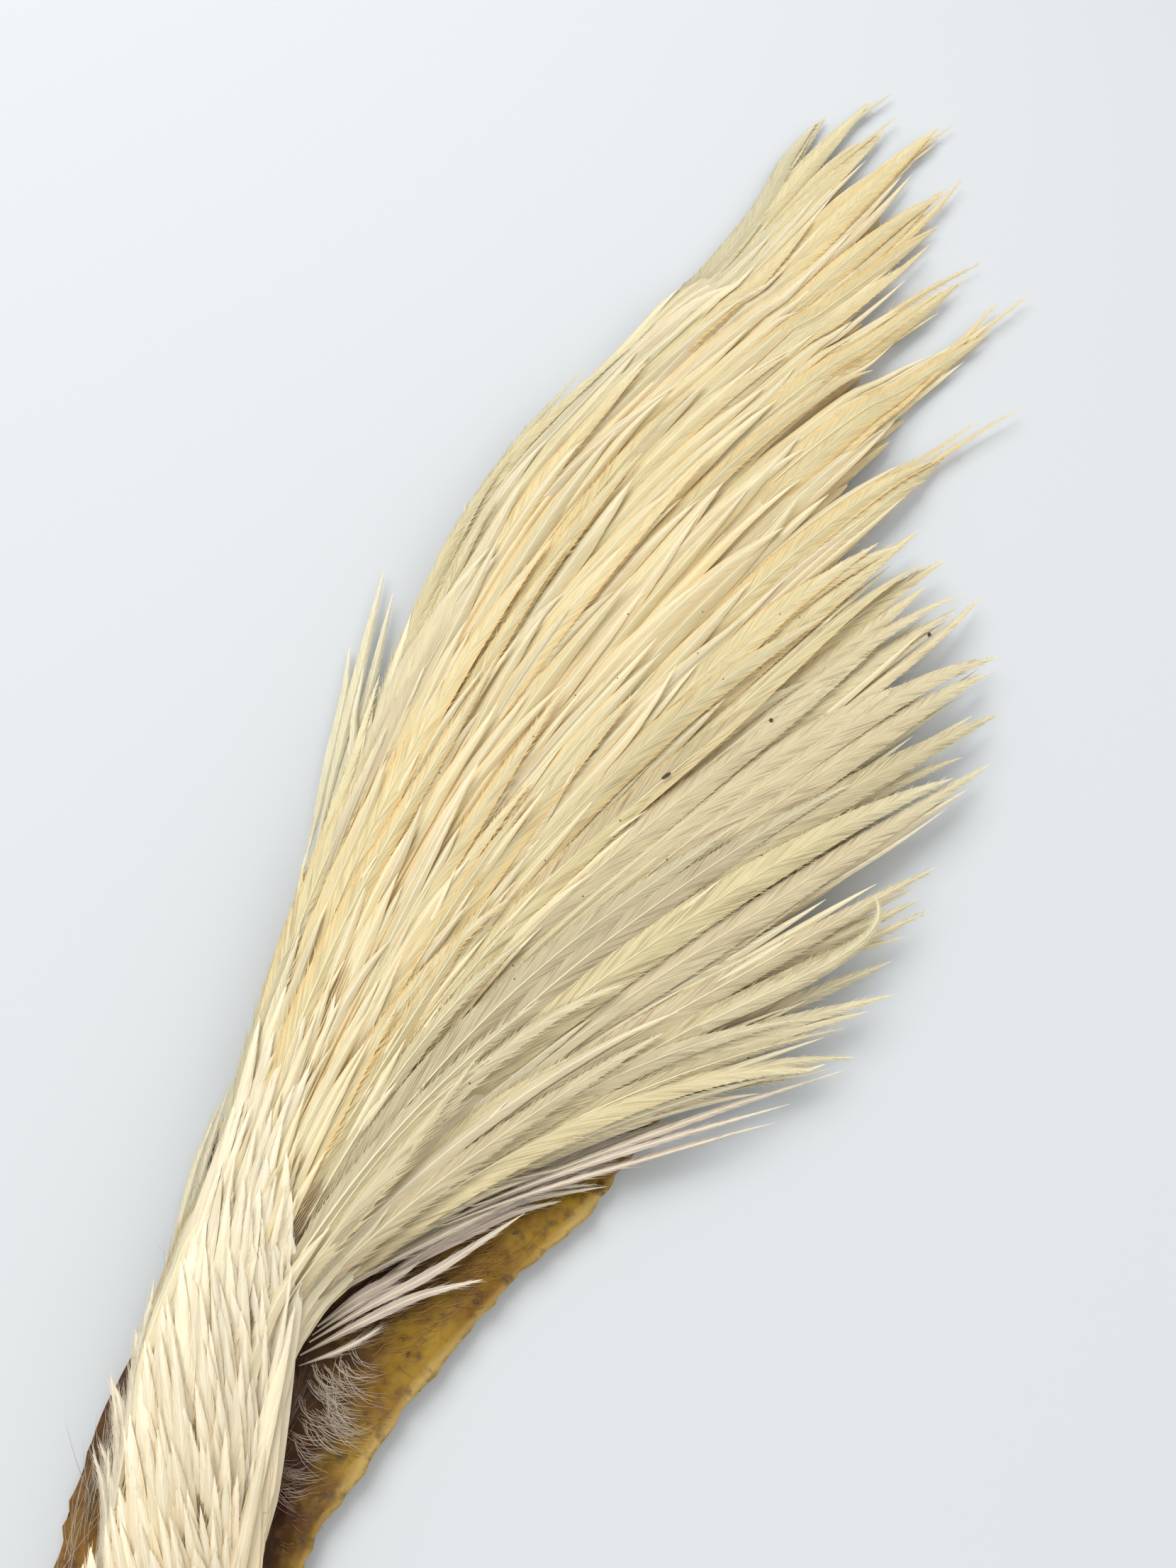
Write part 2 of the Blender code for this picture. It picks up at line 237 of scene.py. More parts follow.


# THE UNDER FEATHERS
# The mass of lower feathers and down that grows between the hide and the top hackles. Nobody sees more of
# it than its golden colour between the hackles, partly its own and partly painted shade, and its barbed
# underside past the hide. One closed sheet, combed into ridges along the strands of the fan and cut to
# points.
NECK_LEFT = -4.5 * MM
NECK_WIDTH = 13.0 * MM
HEAD_END = -22.0 * MM
STRANDS = np.array([0.0, 0.25, 0.5, 0.75, 1.0])
FAN_TURNS = (  # distance from the head end, and which way the strands point there, from +Y to +X
    (0, (-8, -7, -6, -5, -4)), (8, (-9, -9, -8, -8, -7)), (15, (-15, -15, -14, -14, -13)),
    (22, (-13, -14, -15, -15, -15)), (27, (0, -1, -3, -3, -2)), (31, (0, -1, -1, 4, 18)),
    (36, (0, -1, 0, 11, 40)), (41, (-10, -5, 0, 13, 42)), (50, (-10, -5, 2, 17, 48)),
    (58, (-9, -4, 4, 20, 52)), (80, (-2, 1, 9, 29, 54)), (115, (0, 6, 16, 31, 52)),
    (135, (7, 11, 19, 31, 48)), (150, (16, 16, 21, 32, 46)), (170, (20, 19, 24, 32, 42)),
    (205, (15, 19, 26, 32, 40)), (240, (12, 18, 26, 32, 40)), (290, (18, 22, 28, 34, 40)),
)
FAN_REACH = (  # strand, and its length from the head end
    (-0.6, 285), (0.0, 291), (0.1, 286), (0.25, 284), (0.33, 268), (0.38, 256), (0.47, 243), (0.52, 224),
    (0.56, 208), (0.62, 182), (0.69, 164), (0.77, 162), (0.8, 154), (0.85, 138), (0.92, 112), (1.0, 92),
    (1.6, 70),
)
FIELD_STEP = 2.0 * MM
FIELD_PHI = np.linspace(-0.6, 1.6, 221)
FIELD_S = np.arange(0.0, 320 * MM, FIELD_STEP)
OVER_HIDE = 2.0 * MM
BED_RIM = 0.8 * MM
BED_RISE = 4.4 * MM
WAIST = 0.11


def reach(phi):
    return MM * np.interp(phi, *np.transpose(FAN_REACH))


def off_hide(x, y):
    """How far points in plan lie outside the hide."""
    loop = np.concatenate([HIDE_EDGES[:, [1, 0]], HIDE_EDGES[::-1, [2, 0]]])
    inside = np.zeros(x.shape, bool)
    best = np.full(x.shape, np.inf)
    for (ax, ay), (bx, by) in zip(loop, np.roll(loop, -1, axis=0)):
        dx, dy = bx - ax, by - ay
        t = np.clip(((x - ax) * dx + (y - ay) * dy) / max(dx * dx + dy * dy, 1e-12), 0, 1)
        best = np.minimum(best, np.hypot(x - ax - t * dx, y - ay - t * dy))
        if dy:
            inside ^= ((ay > y) != (by > y)) & (x < ax + (y - ay) / dy * dx)
    return np.where(inside, 0.0, best)


def strand_field():
    """For every strand and distance along it: x, y, the height below the feathers, and their thickness."""
    turns = np.array([[np.interp(phi, STRANDS, angles) for _, angles in FAN_TURNS] for phi in FIELD_PHI])
    at = [MM * s for s, _ in FAN_TURNS]
    turn = np.radians([np.interp(FIELD_S, at, row) for row in turns])
    x = NECK_LEFT + NECK_WIDTH * FIELD_PHI[:, None] + np.cumsum(np.sin(turn), axis=1) * FIELD_STEP
    y = HEAD_END + np.cumsum(np.cos(turn), axis=1) * FIELD_STEP
    below = OVER_HIDE * (1 - past(off_hide(x, y), 19, 13))
    phi = np.clip(FIELD_PHI, 0, 1)[:, None]
    s = FIELD_S[None, :] / reach(phi)
    across = (4 * phi * (1 - phi)) ** 0.7
    along = (0.45 + 0.55 * past(FIELD_S, 0, 25)) * (1 - 0.72 * ease((s - 0.3) / 0.6))
    thick = (BED_RIM + BED_RISE * across * along) * (1 - 0.9 * ease((s - 0.8) / 0.2))
    return np.stack([x, y, below, thick], axis=-1)


FIELD = strand_field()


def on_fan(phi, s):
    """x, y, height below the feathers and their thickness, at distance s along strand phi.

    Strands are numbered from 0 at the left edge to 1 at the right. Past the neck, the left ones are drawn in.
    """
    waist = past(s, 33, 8) - 0.55 * past(s, 78, 25) - 0.45 * past(s, 145, 50)
    phi = phi + WAIST * waist * (1 - ease(phi / 0.35))
    a = np.clip((phi - FIELD_PHI[0]) / (FIELD_PHI[1] - FIELD_PHI[0]), 0, len(FIELD_PHI) - 1.001)
    b = np.clip(s / FIELD_STEP, 0, len(FIELD_S) - 1.001)
    i, j = a.astype(int), b.astype(int)
    u, v = (a - i)[..., None], (b - j)[..., None]
    near = FIELD[i, j] * (1 - v) + FIELD[i, j + 1] * v
    far = FIELD[i + 1, j] * (1 - v) + FIELD[i + 1, j + 1] * v
    return near * (1 - u) + far * u


SHARP = math.radians(55)


def mesh_piece(name, parts, finish, slot, *stands_for):
    """One object from parts, each with arrays of its points and faces and its two feather attributes.

    vane: mm across from the quill, mm along, share of the length. tone: shares of ivory, rose and the painted
    golden shade of the creases.
    """
    points, vane, tone = (np.concatenate([part[n] for part in parts]) for n in (0, 2, 3))
    starts = np.cumsum([0] + [len(part[0]) for part in parts])
    faces = [group + start for part, start in zip(parts, starts) for group in part[1]]
    mesh = bpy.data.meshes.new(name)
    corners = np.concatenate([group.ravel() for group in faces]).astype(np.int32)
    sizes = np.concatenate([np.full(len(group), group.shape[1]) for group in faces])
    mesh.vertices.add(len(points))
    mesh.vertices.foreach_set("co", np.ascontiguousarray(points, np.float32).ravel())
    mesh.loops.add(len(corners))
    mesh.loops.foreach_set("vertex_index", corners)
    mesh.polygons.add(len(sizes))
    mesh.polygons.foreach_set("loop_start", np.concatenate([[0], np.cumsum(sizes)[:-1]]).astype(np.int32))
    mesh.update(calc_edges=True)
    mesh.validate()
    for label, values in (("vane", vane), ("tone", tone)):
        stored = mesh.attributes.new(label, "FLOAT_VECTOR", "POINT")
        stored.data.foreach_set("vector", np.ascontiguousarray(values, np.float32).ravel())
    mesh.shade_smooth()
    mesh.set_sharp_from_angle(angle=SHARP)
    mesh.materials.append(finish)
    made = bpy.data.objects.new(name, mesh)
    bpy.context.scene.collection.objects.link(made)
    if stands_for:
        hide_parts(*stands_for)
    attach(made, "root")


# Painted shade: the warm golden colour put in the creases between the feathers, along the edges of the vanes.
CREASE_SHADE_GOLD = (0.78, 0.56, 0.24)
QUILL = (0.93, 0.86, 0.62)
CHANCE = 37.0  # makes a second number of a feather's own out of its share of ivory


def kept_on(tree, name):
    """X, Y and Z of a mesh's own attribute."""
    return axes_of(node(tree, "ShaderNodeAttribute", attribute_name=name).outputs["Vector"])


def barb_lines():
    """Shader group: the slanting barbs of a vane, the clumps that they fall into, and its long streaks."""
    group = bpy.data.node_groups.new("barb_lines", "ShaderNodeTree")
    for name, value in (("Pitch", 0.6), ("Slant", 4.5)):
        socket = group.interface.new_socket(name, in_out="INPUT", socket_type="NodeSocketFloat")
        socket.default_value = value
    for name in ("Lines", "Clumps", "Streaks", "Height"):
        group.interface.new_socket(name, in_out="OUTPUT", socket_type="NodeSocketFloat")
    given = node(group, "NodeGroupInput").outputs
    put = node(group, "NodeGroupOutput").inputs
    across, along, _ = kept_on(group, "vane")
    own = times(kept_on(group, "tone")[0], CHANCE)
    off = math_node("ABSOLUTE", across)
    hand = times(math_node("GREATER_THAN", across, 0.0), 19.0)
    slanted = math_node("SUBTRACT", along, times(off, given["Slant"]))
    run = math_node("DIVIDE", slanted, given["Pitch"])
    found = []
    ways = ((run, 1.7, off, 0.7), (run, 0.34, off, 0.4), (across, 2.6, along, 0.16))
    for first, fast, second, slow in ways:
        place = node(group, "ShaderNodeCombineXYZ")
        join(times(first, fast), place.inputs["X"])
        join(times(second, slow), place.inputs["Y"])
        join(math_node("ADD", own, hand) if first is run else own, place.inputs["Z"])
        noise = node(group, "ShaderNodeTexNoise")
        fill(noise, Scale=1.0, Detail=1.0 if first is run else 4.0)
        join(place.outputs[0], noise.inputs["Vector"])
        found.append(noise.outputs["Fac"])
    for name, value in zip(("Lines", "Clumps", "Streaks"), found):
        join(value, put[name])
    join(math_node("ADD", found[0], found[2]), put["Height"])
    return group


BARBS = barb_lines()


def feather_finish(
    name, warm, ivory, rose, root, tip, bump_depth=0.00006, gaps=0.12, pitch=0.6, crease_shade=0.75, parted=0.0
):
    """Cream vane: its tone from feather to feather, darker to the root, partly its own colour and partly
    painted shade, paler to the tip, barbed all over.
    """
    made, tree, shader = new_finish(name, 0.6)
    barbs = node(tree, "ShaderNodeGroup", node_tree=BARBS)
    fill(barbs, Pitch=pitch)
    across, _, along = kept_on(tree, "vane")
    # The third tone is the share of painted golden crease shade.
    to_ivory, to_rose, to_crease_shade = kept_on(tree, "tone")
    colour = blend_colour(to_ivory, warm, ivory)
    colour = blend_colour(to_rose, colour, rose)
    # Toward the root: partly the feather's own darker base, partly painted shade where it lies under the
    # feathers above.
    colour = blend_colour(spread(along, 0.35, 0.0, 0.0, 0.7), colour, root)
    colour = blend_colour(spread(along, 0.7, 1.0, 0.0, 0.8), colour, tip)
    off = math_node("ABSOLUTE", across)
    # Painted shade between parted barbs: the root colour put in the gaps between them, as if the shade below
    # showed through.
    if parted:
        y = axes_of(node(tree, "ShaderNodeTexCoord").outputs["Object"])[1]
        patch = spread(barbs.outputs["Clumps"], 0.46, 0.60, 0.1, parted)
        patch = times(patch, spread(y, 0.12, 0.18, 1.0, 0.2))
        gap_shade = times(patch, spread(barbs.outputs["Lines"], 0.55, 0.43))
        gap_shade = times(gap_shade, spread(off, 0.2, 1.1, 0.3, 1.0))
        colour = blend_colour(gap_shade, colour, root)
    shade = spread(barbs.outputs["Lines"], 0.36, 0.54, 1 - gaps, 1.0)
    shade = times(shade, spread(barbs.outputs["Streaks"], 0.3, 0.7, 0.90, 1.03))
    chance = math_node("FRACT", times(to_ivory, CHANCE))
    shade = times(shade, spread(chance, 0, 1, 0.88, 1.03))
    grey = node(tree, "ShaderNodeCombineColor")
    for socket in grey.inputs[:3]:
        join(shade, socket)
    colour = blend_colour(1.0, colour, grey.outputs[0], "MULTIPLY")
    # Painted golden shade along the edges of the vane, where the creases between the feathers lie.
    colour = blend_colour(spread(to_crease_shade, 0.35, 1.0, 0.0, crease_shade), colour, CREASE_SHADE_GOLD)
    colour = blend_colour(spread(off, 0.08, 0.04, 0.0, 0.6), colour, QUILL)
    join(colour, shader.inputs["Base Color"])
    fill(shader, Specular_IOR_Level=0.3, Sheen_Weight=0.06, Sheen_Roughness=0.4)
    fill(shader, Sheen_Tint=(1.0, 0.93, 0.78, 1))
    bump(shader, barbs.outputs["Height"], bump_depth)
    return made


MAT_RIDGES = 64
MAT_COLUMNS = MAT_RIDGES * 5
MAT_ROWS = 46
MAT_SHARE = 0.8
PILE_TOP = 2.7 * MM
OUTLINE = (  # strand, and where the feathers end there: the tips of the locks and the gaps between them
    (-0.15, 258), (-0.08, 271), (-0.03, 261), (0.05, 283), (0.09, 267), (0.13, 274), (0.19, 267),
    (0.254, 283), (0.312, 256), (0.34, 259), (0.36, 243), (0.38, 248), (0.4, 230), (0.475, 233),
    (0.505, 212), (0.545, 227), (0.572, 211), (0.59, 180), (0.623, 187), (0.653, 159), (0.673, 165),
    (0.69, 155), (0.711, 163), (0.738, 143), (0.756, 163), (0.778, 141), (0.8, 154), (0.811, 139),
    (0.826, 145), (0.84, 131), (0.857, 137), (0.885, 110), (0.899, 117), (0.912, 105), (0.926, 112),
    (0.942, 98), (0.958, 101), (0.985, 88), (1.0, 92), (1.05, 82),
)


def outline(phi):
    return MM * np.interp(phi, *np.transpose(OUTLINE))


def pile(phi, s, t):
    """Height over the under feathers: a feather lies low at its root and on top of the pile at its tip."""
    inside = np.clip(phi, 0, 1)
    across = 0.35 + 0.65 * (4 * inside * (1 - inside)) ** 0.6
    full = PILE_TOP * across * (1 - 0.55 * ease(s / reach(inside) * 2.2 - 1.2))
    return full * (0.12 + 0.88 * t**0.9)


def under_feathers():
    u = np.linspace(0, 1, MAT_COLUMNS + 1)
    phi = 0.07 + 0.915 * np.interp(u, (0, 0.15, 0.38, 0.68, 1), STRANDS)
    ridge = np.abs(np.sin(u * MAT_RIDGES * math.pi))
    rng = np.random.default_rng(11)
    lock = np.interp(u * MAT_RIDGES, np.arange(MAT_RIDGES + 1), rng.uniform(0, 12 * MM, MAT_RIDGES + 1))
    end = outline(phi) - 14 * MM - lock - 12 * MM * (1 - ridge)
    v = np.linspace(0, 1, MAT_ROWS + 1)
    s = 2 * MM + (end[:, None] - 2 * MM) * v[None, :]
    inset = 0.14 * (1 - past(s, 50, 45)) + 0.08 * (1 - past(s, 30, 15))
    spot = on_fan(phi[:, None] + (0.5 - phi[:, None]) * inset, s)
    x, y, below, thick = np.moveaxis(spot, -1, 0)
    comb = (0.72 * pile(phi[:, None], s, 1.0) + 0.25 * MM * ridge[:, None]) * (1 - v[None, :] ** 4)
    comb = comb + 0.1 * MM * ripple(x, y, 6 * MM, 12)
    upper = np.stack([x, y, below + np.maximum(thick * MAT_SHARE + comb, 0.2 * MM)], -1)
    lower = np.stack([x, y, below + 0.05 * MM], -1)
    points = np.concatenate([upper.reshape(-1, 3), lower.reshape(-1, 3)])
    more = s.size
    index = np.arange(more).reshape(s.shape)
    top = np.stack([index[:-1, :-1], index[1:, :-1], index[1:, 1:], index[:-1, 1:]], -1).reshape(-1, 4)
    loop = np.concatenate([index[:, 0], index[-1, 1:], index[-2::-1, -1], index[0, -2:0:-1]])
    after = np.roll(loop, -1)
    faces = [top, top[:, ::-1] + more, np.stack([after, loop, loop + more, after + more], -1)]
    across = (u[:, None] * MAT_RIDGES % 1 - 0.5) * 1.4 + 0 * s
    # Painted shade: the right side of the sheet takes more of the dark root colour, so the gaps between the
    # hackles there look deeper.
    deep = 0.3 * ease((phi[:, None] - 0.5) / 0.3) * (1 - ease((v - 0.7) / 0.3))
    vane = np.stack([across, s / MM, 0.3 + 0.3 * v - deep * (1 + v)], -1).reshape(-1, 3)
    blotch = np.floor(u * MAT_RIDGES) * 0.37 % 1
    # Painted shade: more gold in the valleys between the ridges than on them.
    gold = (1 - 0.6 * ridge) * ease((phi - 0.1) / 0.2)
    tone = np.stack([blotch[:, None] + 0 * s, 0.3 + 0 * s, gold[:, None] + 0 * s], -1).reshape(-1, 3)
    vane, tone = np.tile(vane, (2, 1)), np.tile(tone, (2, 1))
    # Golden colours, partly the down's own and partly painted shade between the hackles; the dark root colour
    # is painted shade.
    finish = feather_finish(
        "under_down", (0.84, 0.67, 0.35), (0.80, 0.67, 0.39), (0.76, 0.60, 0.37), (0.30, 0.21, 0.13),
        (0.84, 0.70, 0.42), crease_shade=0.55,
    )
    mesh_piece("under_feathers", [(points, faces, vane, tone)], finish, "under_hackles", "under_hackles")


under_feathers()


# THE HACKLES
# Long, slender feathers of the neck, each a thin quill with a vane folded down on both sides of it like a
# narrow roof, running out to a point. They lie along the fan in row over row, the tips of each row showing.
# Every one is a closed blade lofted along its strand, a little bent, rolled and waved, with a few barbs.
TOP_W = np.array([-1.0, -0.74, -0.38, 0.0, 0.38, 0.74, 1.0])
RING_W = np.append(TOP_W, 0.0)
RING_RISE = np.append(1 - np.abs(TOP_W) ** 1.8, 0.45) - 0.3
THINNEST = 0.02 * MM
STATIONS = 26


def vane_half(widest, t, quill, point, thinnest=THINNEST):
    """Half widths along feathers, from the widest there is: narrow quill, full vane, long point."""
    share = np.minimum(1.0, quill + 1.8 * t) * (1 - t**point) ** 0.85
    return np.maximum(widest * share, thinnest)


def unit(v):
    return v / np.maximum(np.linalg.norm(v, axis=-1, keepdims=True), 1e-12)


def directions(line):
    """Forward, right and up along these lines: (feather, station, 3) each."""
    along = unit(np.gradient(line, axis=1))
    side = unit(np.cross(along, (0, 0, 1)))
    return along, side, np.cross(side, along)


def laid(phi_root, phi_tip, s_root, s_tip, rise, sway, roll, straight=0.0, bend=3.5):
    """Feathers laid on the fan: how far along, distance, line, and the three directions, rolled."""
    t = np.linspace(0, 1, roll.shape[1])[None, :]
    s = s_root[:, None] + (s_tip - s_root)[:, None] * t
    phi = phi_root[:, None] + (phi_tip - phi_root)[:, None] * t**bend
    x, y, below, thick = np.moveaxis(on_fan(phi, s), -1, 0)
    line = np.stack([x, y, below + thick * MAT_SHARE + rise(phi, s, t)], -1)
    chord = line[:, :1] * (1 - t[..., None]) + line[:, -1:] * t[..., None]
    line[..., :2] += straight * (chord - line)[..., :2]
    size, waves, start = (v[:, None] for v in sway)
    wobble = size * np.sin(2 * math.pi * (waves * t + start)) * t
    line = line + directions(line)[1] * wobble[..., None]
    along, side, up = directions(line)
    c, d = np.cos(roll)[..., None], np.sin(roll)[..., None]
    return t, s, line, along, side * c + up * d, up * c - side * d


def blades(feathers, half, fold, tone):
    """Closed vanes on these feathers, arched across by fold: points, faces and the two attributes."""
    t, s, line, _, side, up = feathers
    count, stations = half.shape
    ring = len(RING_W)
    out = line[:, :, None, :] + side[:, :, None, :] * (half[:, :, None] * RING_W)[..., None]
    out = out + up[:, :, None, :] * ((half * fold)[:, :, None] * RING_RISE)[..., None]
    index = np.arange(count * stations * ring).reshape(count, stations, ring)
    turn = np.roll(index, -1, axis=2)
    walls = np.stack([index[:, :-1], turn[:, :-1], turn[:, 1:], index[:, 1:]], -1).reshape(-1, 4)
    caps = np.concatenate([index[:, 0, ::-1], index[:, -1]])
    across = (half[:, :, None] * RING_W) / MM
    along = np.broadcast_to(((s - s[:, :1]) / MM)[:, :, None], across.shape)
    vane = np.stack([across, along, np.broadcast_to(t[..., None], across.shape)], -1)
    tones = np.array(np.broadcast_to(tone[:, None, None, :], out.shape))
    # The edges of each vane take the most painted golden crease shade.
    tones[..., 2] *= np.append(np.abs(TOP_W), 1.0)
    return out.reshape(-1, 3), [walls, caps], vane.reshape(-1, 3), tones.reshape(-1, 3)


def spikes(lines, side, width, z, tone, across=0.3, flat=0.3):
    """Closed three-cornered spikes along these lines, (spike, stop, 3), for quills, barbs and hairs."""
    count, stops = lines.shape[:2]
    side = np.broadcast_to(side[:, None, :], lines.shape)
    up = unit(np.cross(side, np.gradient(lines, axis=1)))
    half = 0.5 * width * (1 - np.linspace(0, 1, stops)[:-1]) ** 0.6
    foot, out = lines[:, :-1], side[:, :-1] * half[..., None]
    ring = np.stack([foot - out, foot + out, foot + up[:, :-1] * (2 * flat * half)[..., None]], 2)
    points = np.concatenate([ring.reshape(count, -1, 3), lines[:, -1:]], 1)
    start = np.arange(count)[:, None] * points.shape[1]
    last, tip = 3 * (stops - 2), 3 * (stops - 1)
    tris = [(0, 1, 2)] + [(last + b, last + a, tip) for a, b in ((0, 1), (1, 2), (2, 0))]
    for j in range(0, last, 3):
        for a, b in ((0, 1), (1, 2), (2, 0)):
            tris += [(j + b, j + a, j + a + 3), (j + b, j + a + 3, j + b + 3)]
    faces = (start[:, :, None] + np.array(tris)[None]).reshape(-1, 3)
    z = np.broadcast_to(np.reshape(z, (-1, 1)), points.shape[:2])
    vane = np.stack([np.full_like(z, across), 3 * z, z], -1)
    tones = np.broadcast_to(tone[:, None, :], points.shape)
    return points.reshape(-1, 3), [faces], vane.reshape(-1, 3), tones.reshape(-1, 3)


def between(values, k):
    """Values of (feather, station, n) at fractional stations k."""
    i = np.minimum(k.astype(int), values.shape[1] - 2)
    f = (k - i)[..., None]
    who = np.arange(len(values))[:, None]
    return values[who, i] * (1 - f) + values[who, i + 1] * f


def fringe(rng, feathers, half, fold, tone, number, length, slant, width, first=0.15, foot=0.6):
    """Barbs that leave these vanes, length and width in mm: they start on the blade and end past its edge."""
    _, _, line, along, side, up = feathers
    k = (half.shape[1] - 1) * rng.uniform(first, 0.985, (len(half), number))
    hand = rng.choice([-1.0, 1.0], k.shape)
    wide = between(half[..., None], k)[..., 0]
    spot, ahead, out, lift = (between(v, k) for v in (line, along, side, up))
    base = spot + out * (foot * hand * wide)[..., None] + lift * ((0.7 - foot**1.8) * wide * fold)[..., None]
    angle = rng.uniform(*slant, k.shape)
    long = rng.uniform(length[0] * MM, length[1] * MM, k.shape)
    long = long * (0.3 + 0.7 * wide / half.max(axis=1, keepdims=True))
    run = ahead * np.cos(angle)[..., None] + out * (hand * np.sin(angle))[..., None]
    run = run - lift * (0.3 * np.sin(angle))[..., None]
    lines = np.stack([base, base + run * long[..., None]], 2).reshape(-1, 2, 3)
    lines[..., 2] = np.maximum(lines[..., 2], 0.1 * MM)
    shade = np.repeat(tone, number, axis=0)
    return spikes(lines, out.reshape(-1, 3), width * MM, k / (half.shape[1] - 1), shade)


def strand_gap(phi, s):
    """How far apart at s two strands would lie that are one unit of phi apart."""
    phi, s = np.asarray(phi, float), np.asarray(s, float)
    apart = on_fan(phi + 0.01, s)[..., :2] - on_fan(phi - 0.01, s)[..., :2]
    return np.linalg.norm(apart, axis=-1) / 0.02


def scatter_tips(rng):
    """Where the tips of the hackles show: level after level along the fan, finer near the neck."""
    found, level = [], 40 * MM
    while level < 290 * MM:
        far = float(past(level, 48, 110))
        pitch, gap = (5.5 + 19.0 * far) * MM, (1.6 + 1.1 * far) * MM
        phi = 0.02 + rng.uniform(0, 0.02)
        while phi < 1.01:
            s = level + rng.uniform(-0.5, 0.5) * pitch
            limit = float(outline(phi))
            if s < limit + 2 * MM:
                found.append((phi, min(s, limit - rng.uniform(0, 5) * MM)))
            sparse = 1 + 0.45 * float(ease((phi - 0.55) / 0.2))
            phi += gap * sparse * rng.uniform(0.7, 1.3) / float(strand_gap(phi, s))
        level += pitch
    phi = -0.08
    while phi < 1.01:
        s = float(outline(phi)) - rng.uniform(0, 12) * MM
        found.append((phi, s))
        phi += 1.3 * MM * rng.uniform(0.7, 1.3) / float(strand_gap(phi, s))
    return np.array(found).T


def root_of(phi, s_tip):
    """Where the feather grows whose tip is at s_tip: nearer the head end for shorter feathers."""
    first_tip, first_root = 38 * MM, 17 * MM
    share = np.clip((s_tip - first_tip) / (reach(phi) - first_tip), 0, 1)
    last_root = np.clip(reach(phi) - 108 * MM, 27 * MM, 156 * MM)
    return np.minimum(first_root + share * (last_root - first_root), s_tip - 22 * MM)


LOCKS = [
    here for last, here, after in zip(OUTLINE, OUTLINE[1:], OUTLINE[2:]) if last[1] < here[1] > after[1]
]


def lock_tip(phi):
    """The strand of the nearest lock's tip."""
    tips = np.array(LOCKS)[:, 0]
    return tips[np.argmin(np.abs(phi[:, None] - tips), axis=1)]


HACKLE_TIPS = scatter_tips(np.random.default_rng(5))
# Its ivory is the greyer cream of the right side and the left edge, also darkened to paint the shade over the
# right side of the fan.
HACKLE_FINISH = feather_finish(
    "hackle_vane", (0.80, 0.68, 0.38), (0.61, 0.57, 0.39), (0.66, 0.54, 0.38), (0.80, 0.66, 0.37),
    (0.88, 0.81, 0.58), gaps=0.10, crease_shade=0.5,
)


def hackle_layer(name, chosen, seed, stands_for):
    rng = np.random.default_rng(seed)
    phi, s_tip = HACKLE_TIPS[:, chosen]
    count = len(phi)
    right, left, pale = ease((phi - 0.62) / 0.3), 1 - ease((phi + 0.02) / 0.09), 1 - ease((phi - 0.08) / 0.22)
    far, calm = past(s_tip, 50, 120), 1 - 0.75 * past(s_tip, 110, 80)
    at_edge = ease((s_tip - outline(phi) + 30 * MM) / (30 * MM))
    s_root = root_of(phi, s_tip) + rng.uniform(-5, 5, count) * MM
    loose = rng.random(count)
    across = np.clip(rng.normal(0, 1, count), -1.5, 1.5) * np.where(loose < 0.3, 2.0, 1.1) * MM
    across = across * (0.55 + 0.45 * past(s_tip, 60, 50))
    to_lock = 0.5 * at_edge * (lock_tip(phi) - phi)
    phi_tip = phi + across * (1 - 0.5 * at_edge) / strand_gap(phi, s_tip) + to_lock
    start = np.clip(phi, 0.07 + 0.2 * np.minimum(phi, 0) + 0.07 * (1 - past(s_root, 22, 12)), 0.97)
    stand = np.where(loose < 0.12, 0.4, 0) * past(s_tip, 60, 40)
    lift = calm * (rng.normal(0, 1, count) * (0.2 + 0.3 * right) + stand) * MM
    flare = calm * rng.uniform(-0.4, 0.6, count) * MM
    wave = 0.3 + 0.7 * past(s_tip, 55, 60)
    sway = (wave * rng.uniform(0.1, 0.6, count) * MM, rng.uniform(0.6, 1.8, count), rng.uniform(0, 1, count))

    def rise(p, s, t):
        return pile(p, s, t) + lift[:, None] * ease(4 * t) + flare[:, None] * t**5

    t = np.linspace(0, 1, STATIONS)[None, :]
    edge = 0.75 * left - 0.5 * ease((phi - 0.9) / 0.1)
    tilt = calm * rng.normal(0, 0.16, count) + edge
    roll = tilt[:, None] + (calm * rng.normal(0, 0.2, count))[:, None] * t
    feathers = laid(start, phi_tip, s_root, s_tip, rise, sway, roll)
    size = (0.85 + 0.85 * far) * (1 - 0.25 * at_edge) * MM * rng.uniform(0.8, 1.2, count)
    half = vane_half(size[:, None], t, 0.35, 2.0 + 2.5 * rng.random(count)[:, None])
    notch = rng.uniform(3, 7, (count, 1)) * t + rng.random((count, 1))
    half = half * (1 + 0.05 * np.sin(2 * math.pi * notch))
    fold = (rng.uniform(0.26, 0.5, count) * (1 + 0.25 * far - 0.45 * past(s_tip, 150, 50)))[:, None]
    # More ivory to the right: greyer there, and darker as painted shade.
    ivory = np.clip(0.7 * rng.beta(1.1, 1.9, count) + 0.45 * right + 0.4 * pale, 0, 1)
    rosy = np.clip(rng.beta(1.0, 4.5, count) + 0.4 * right * rng.random(count), 0, 1)
    tone = np.stack([ivory, rosy, 1 - 0.4 * right - 0.9 * pale], -1)
    points, faces, vane, tones = blades(feathers, half, fold, tone)
    near = 0.92 * (1 - past(s_tip, 60, 60))
    vane[:, 2] = np.maximum(vane[:, 2], np.repeat(near, len(vane) // count))
    barbs = fringe(rng, feathers, half, fold, tone, 8, (1.2, 3.0), (0.03, 0.12), 0.06)
    mesh_piece(name, [(points, faces, vane, tones), barbs], HACKLE_FINISH, "hackles", *stands_for)


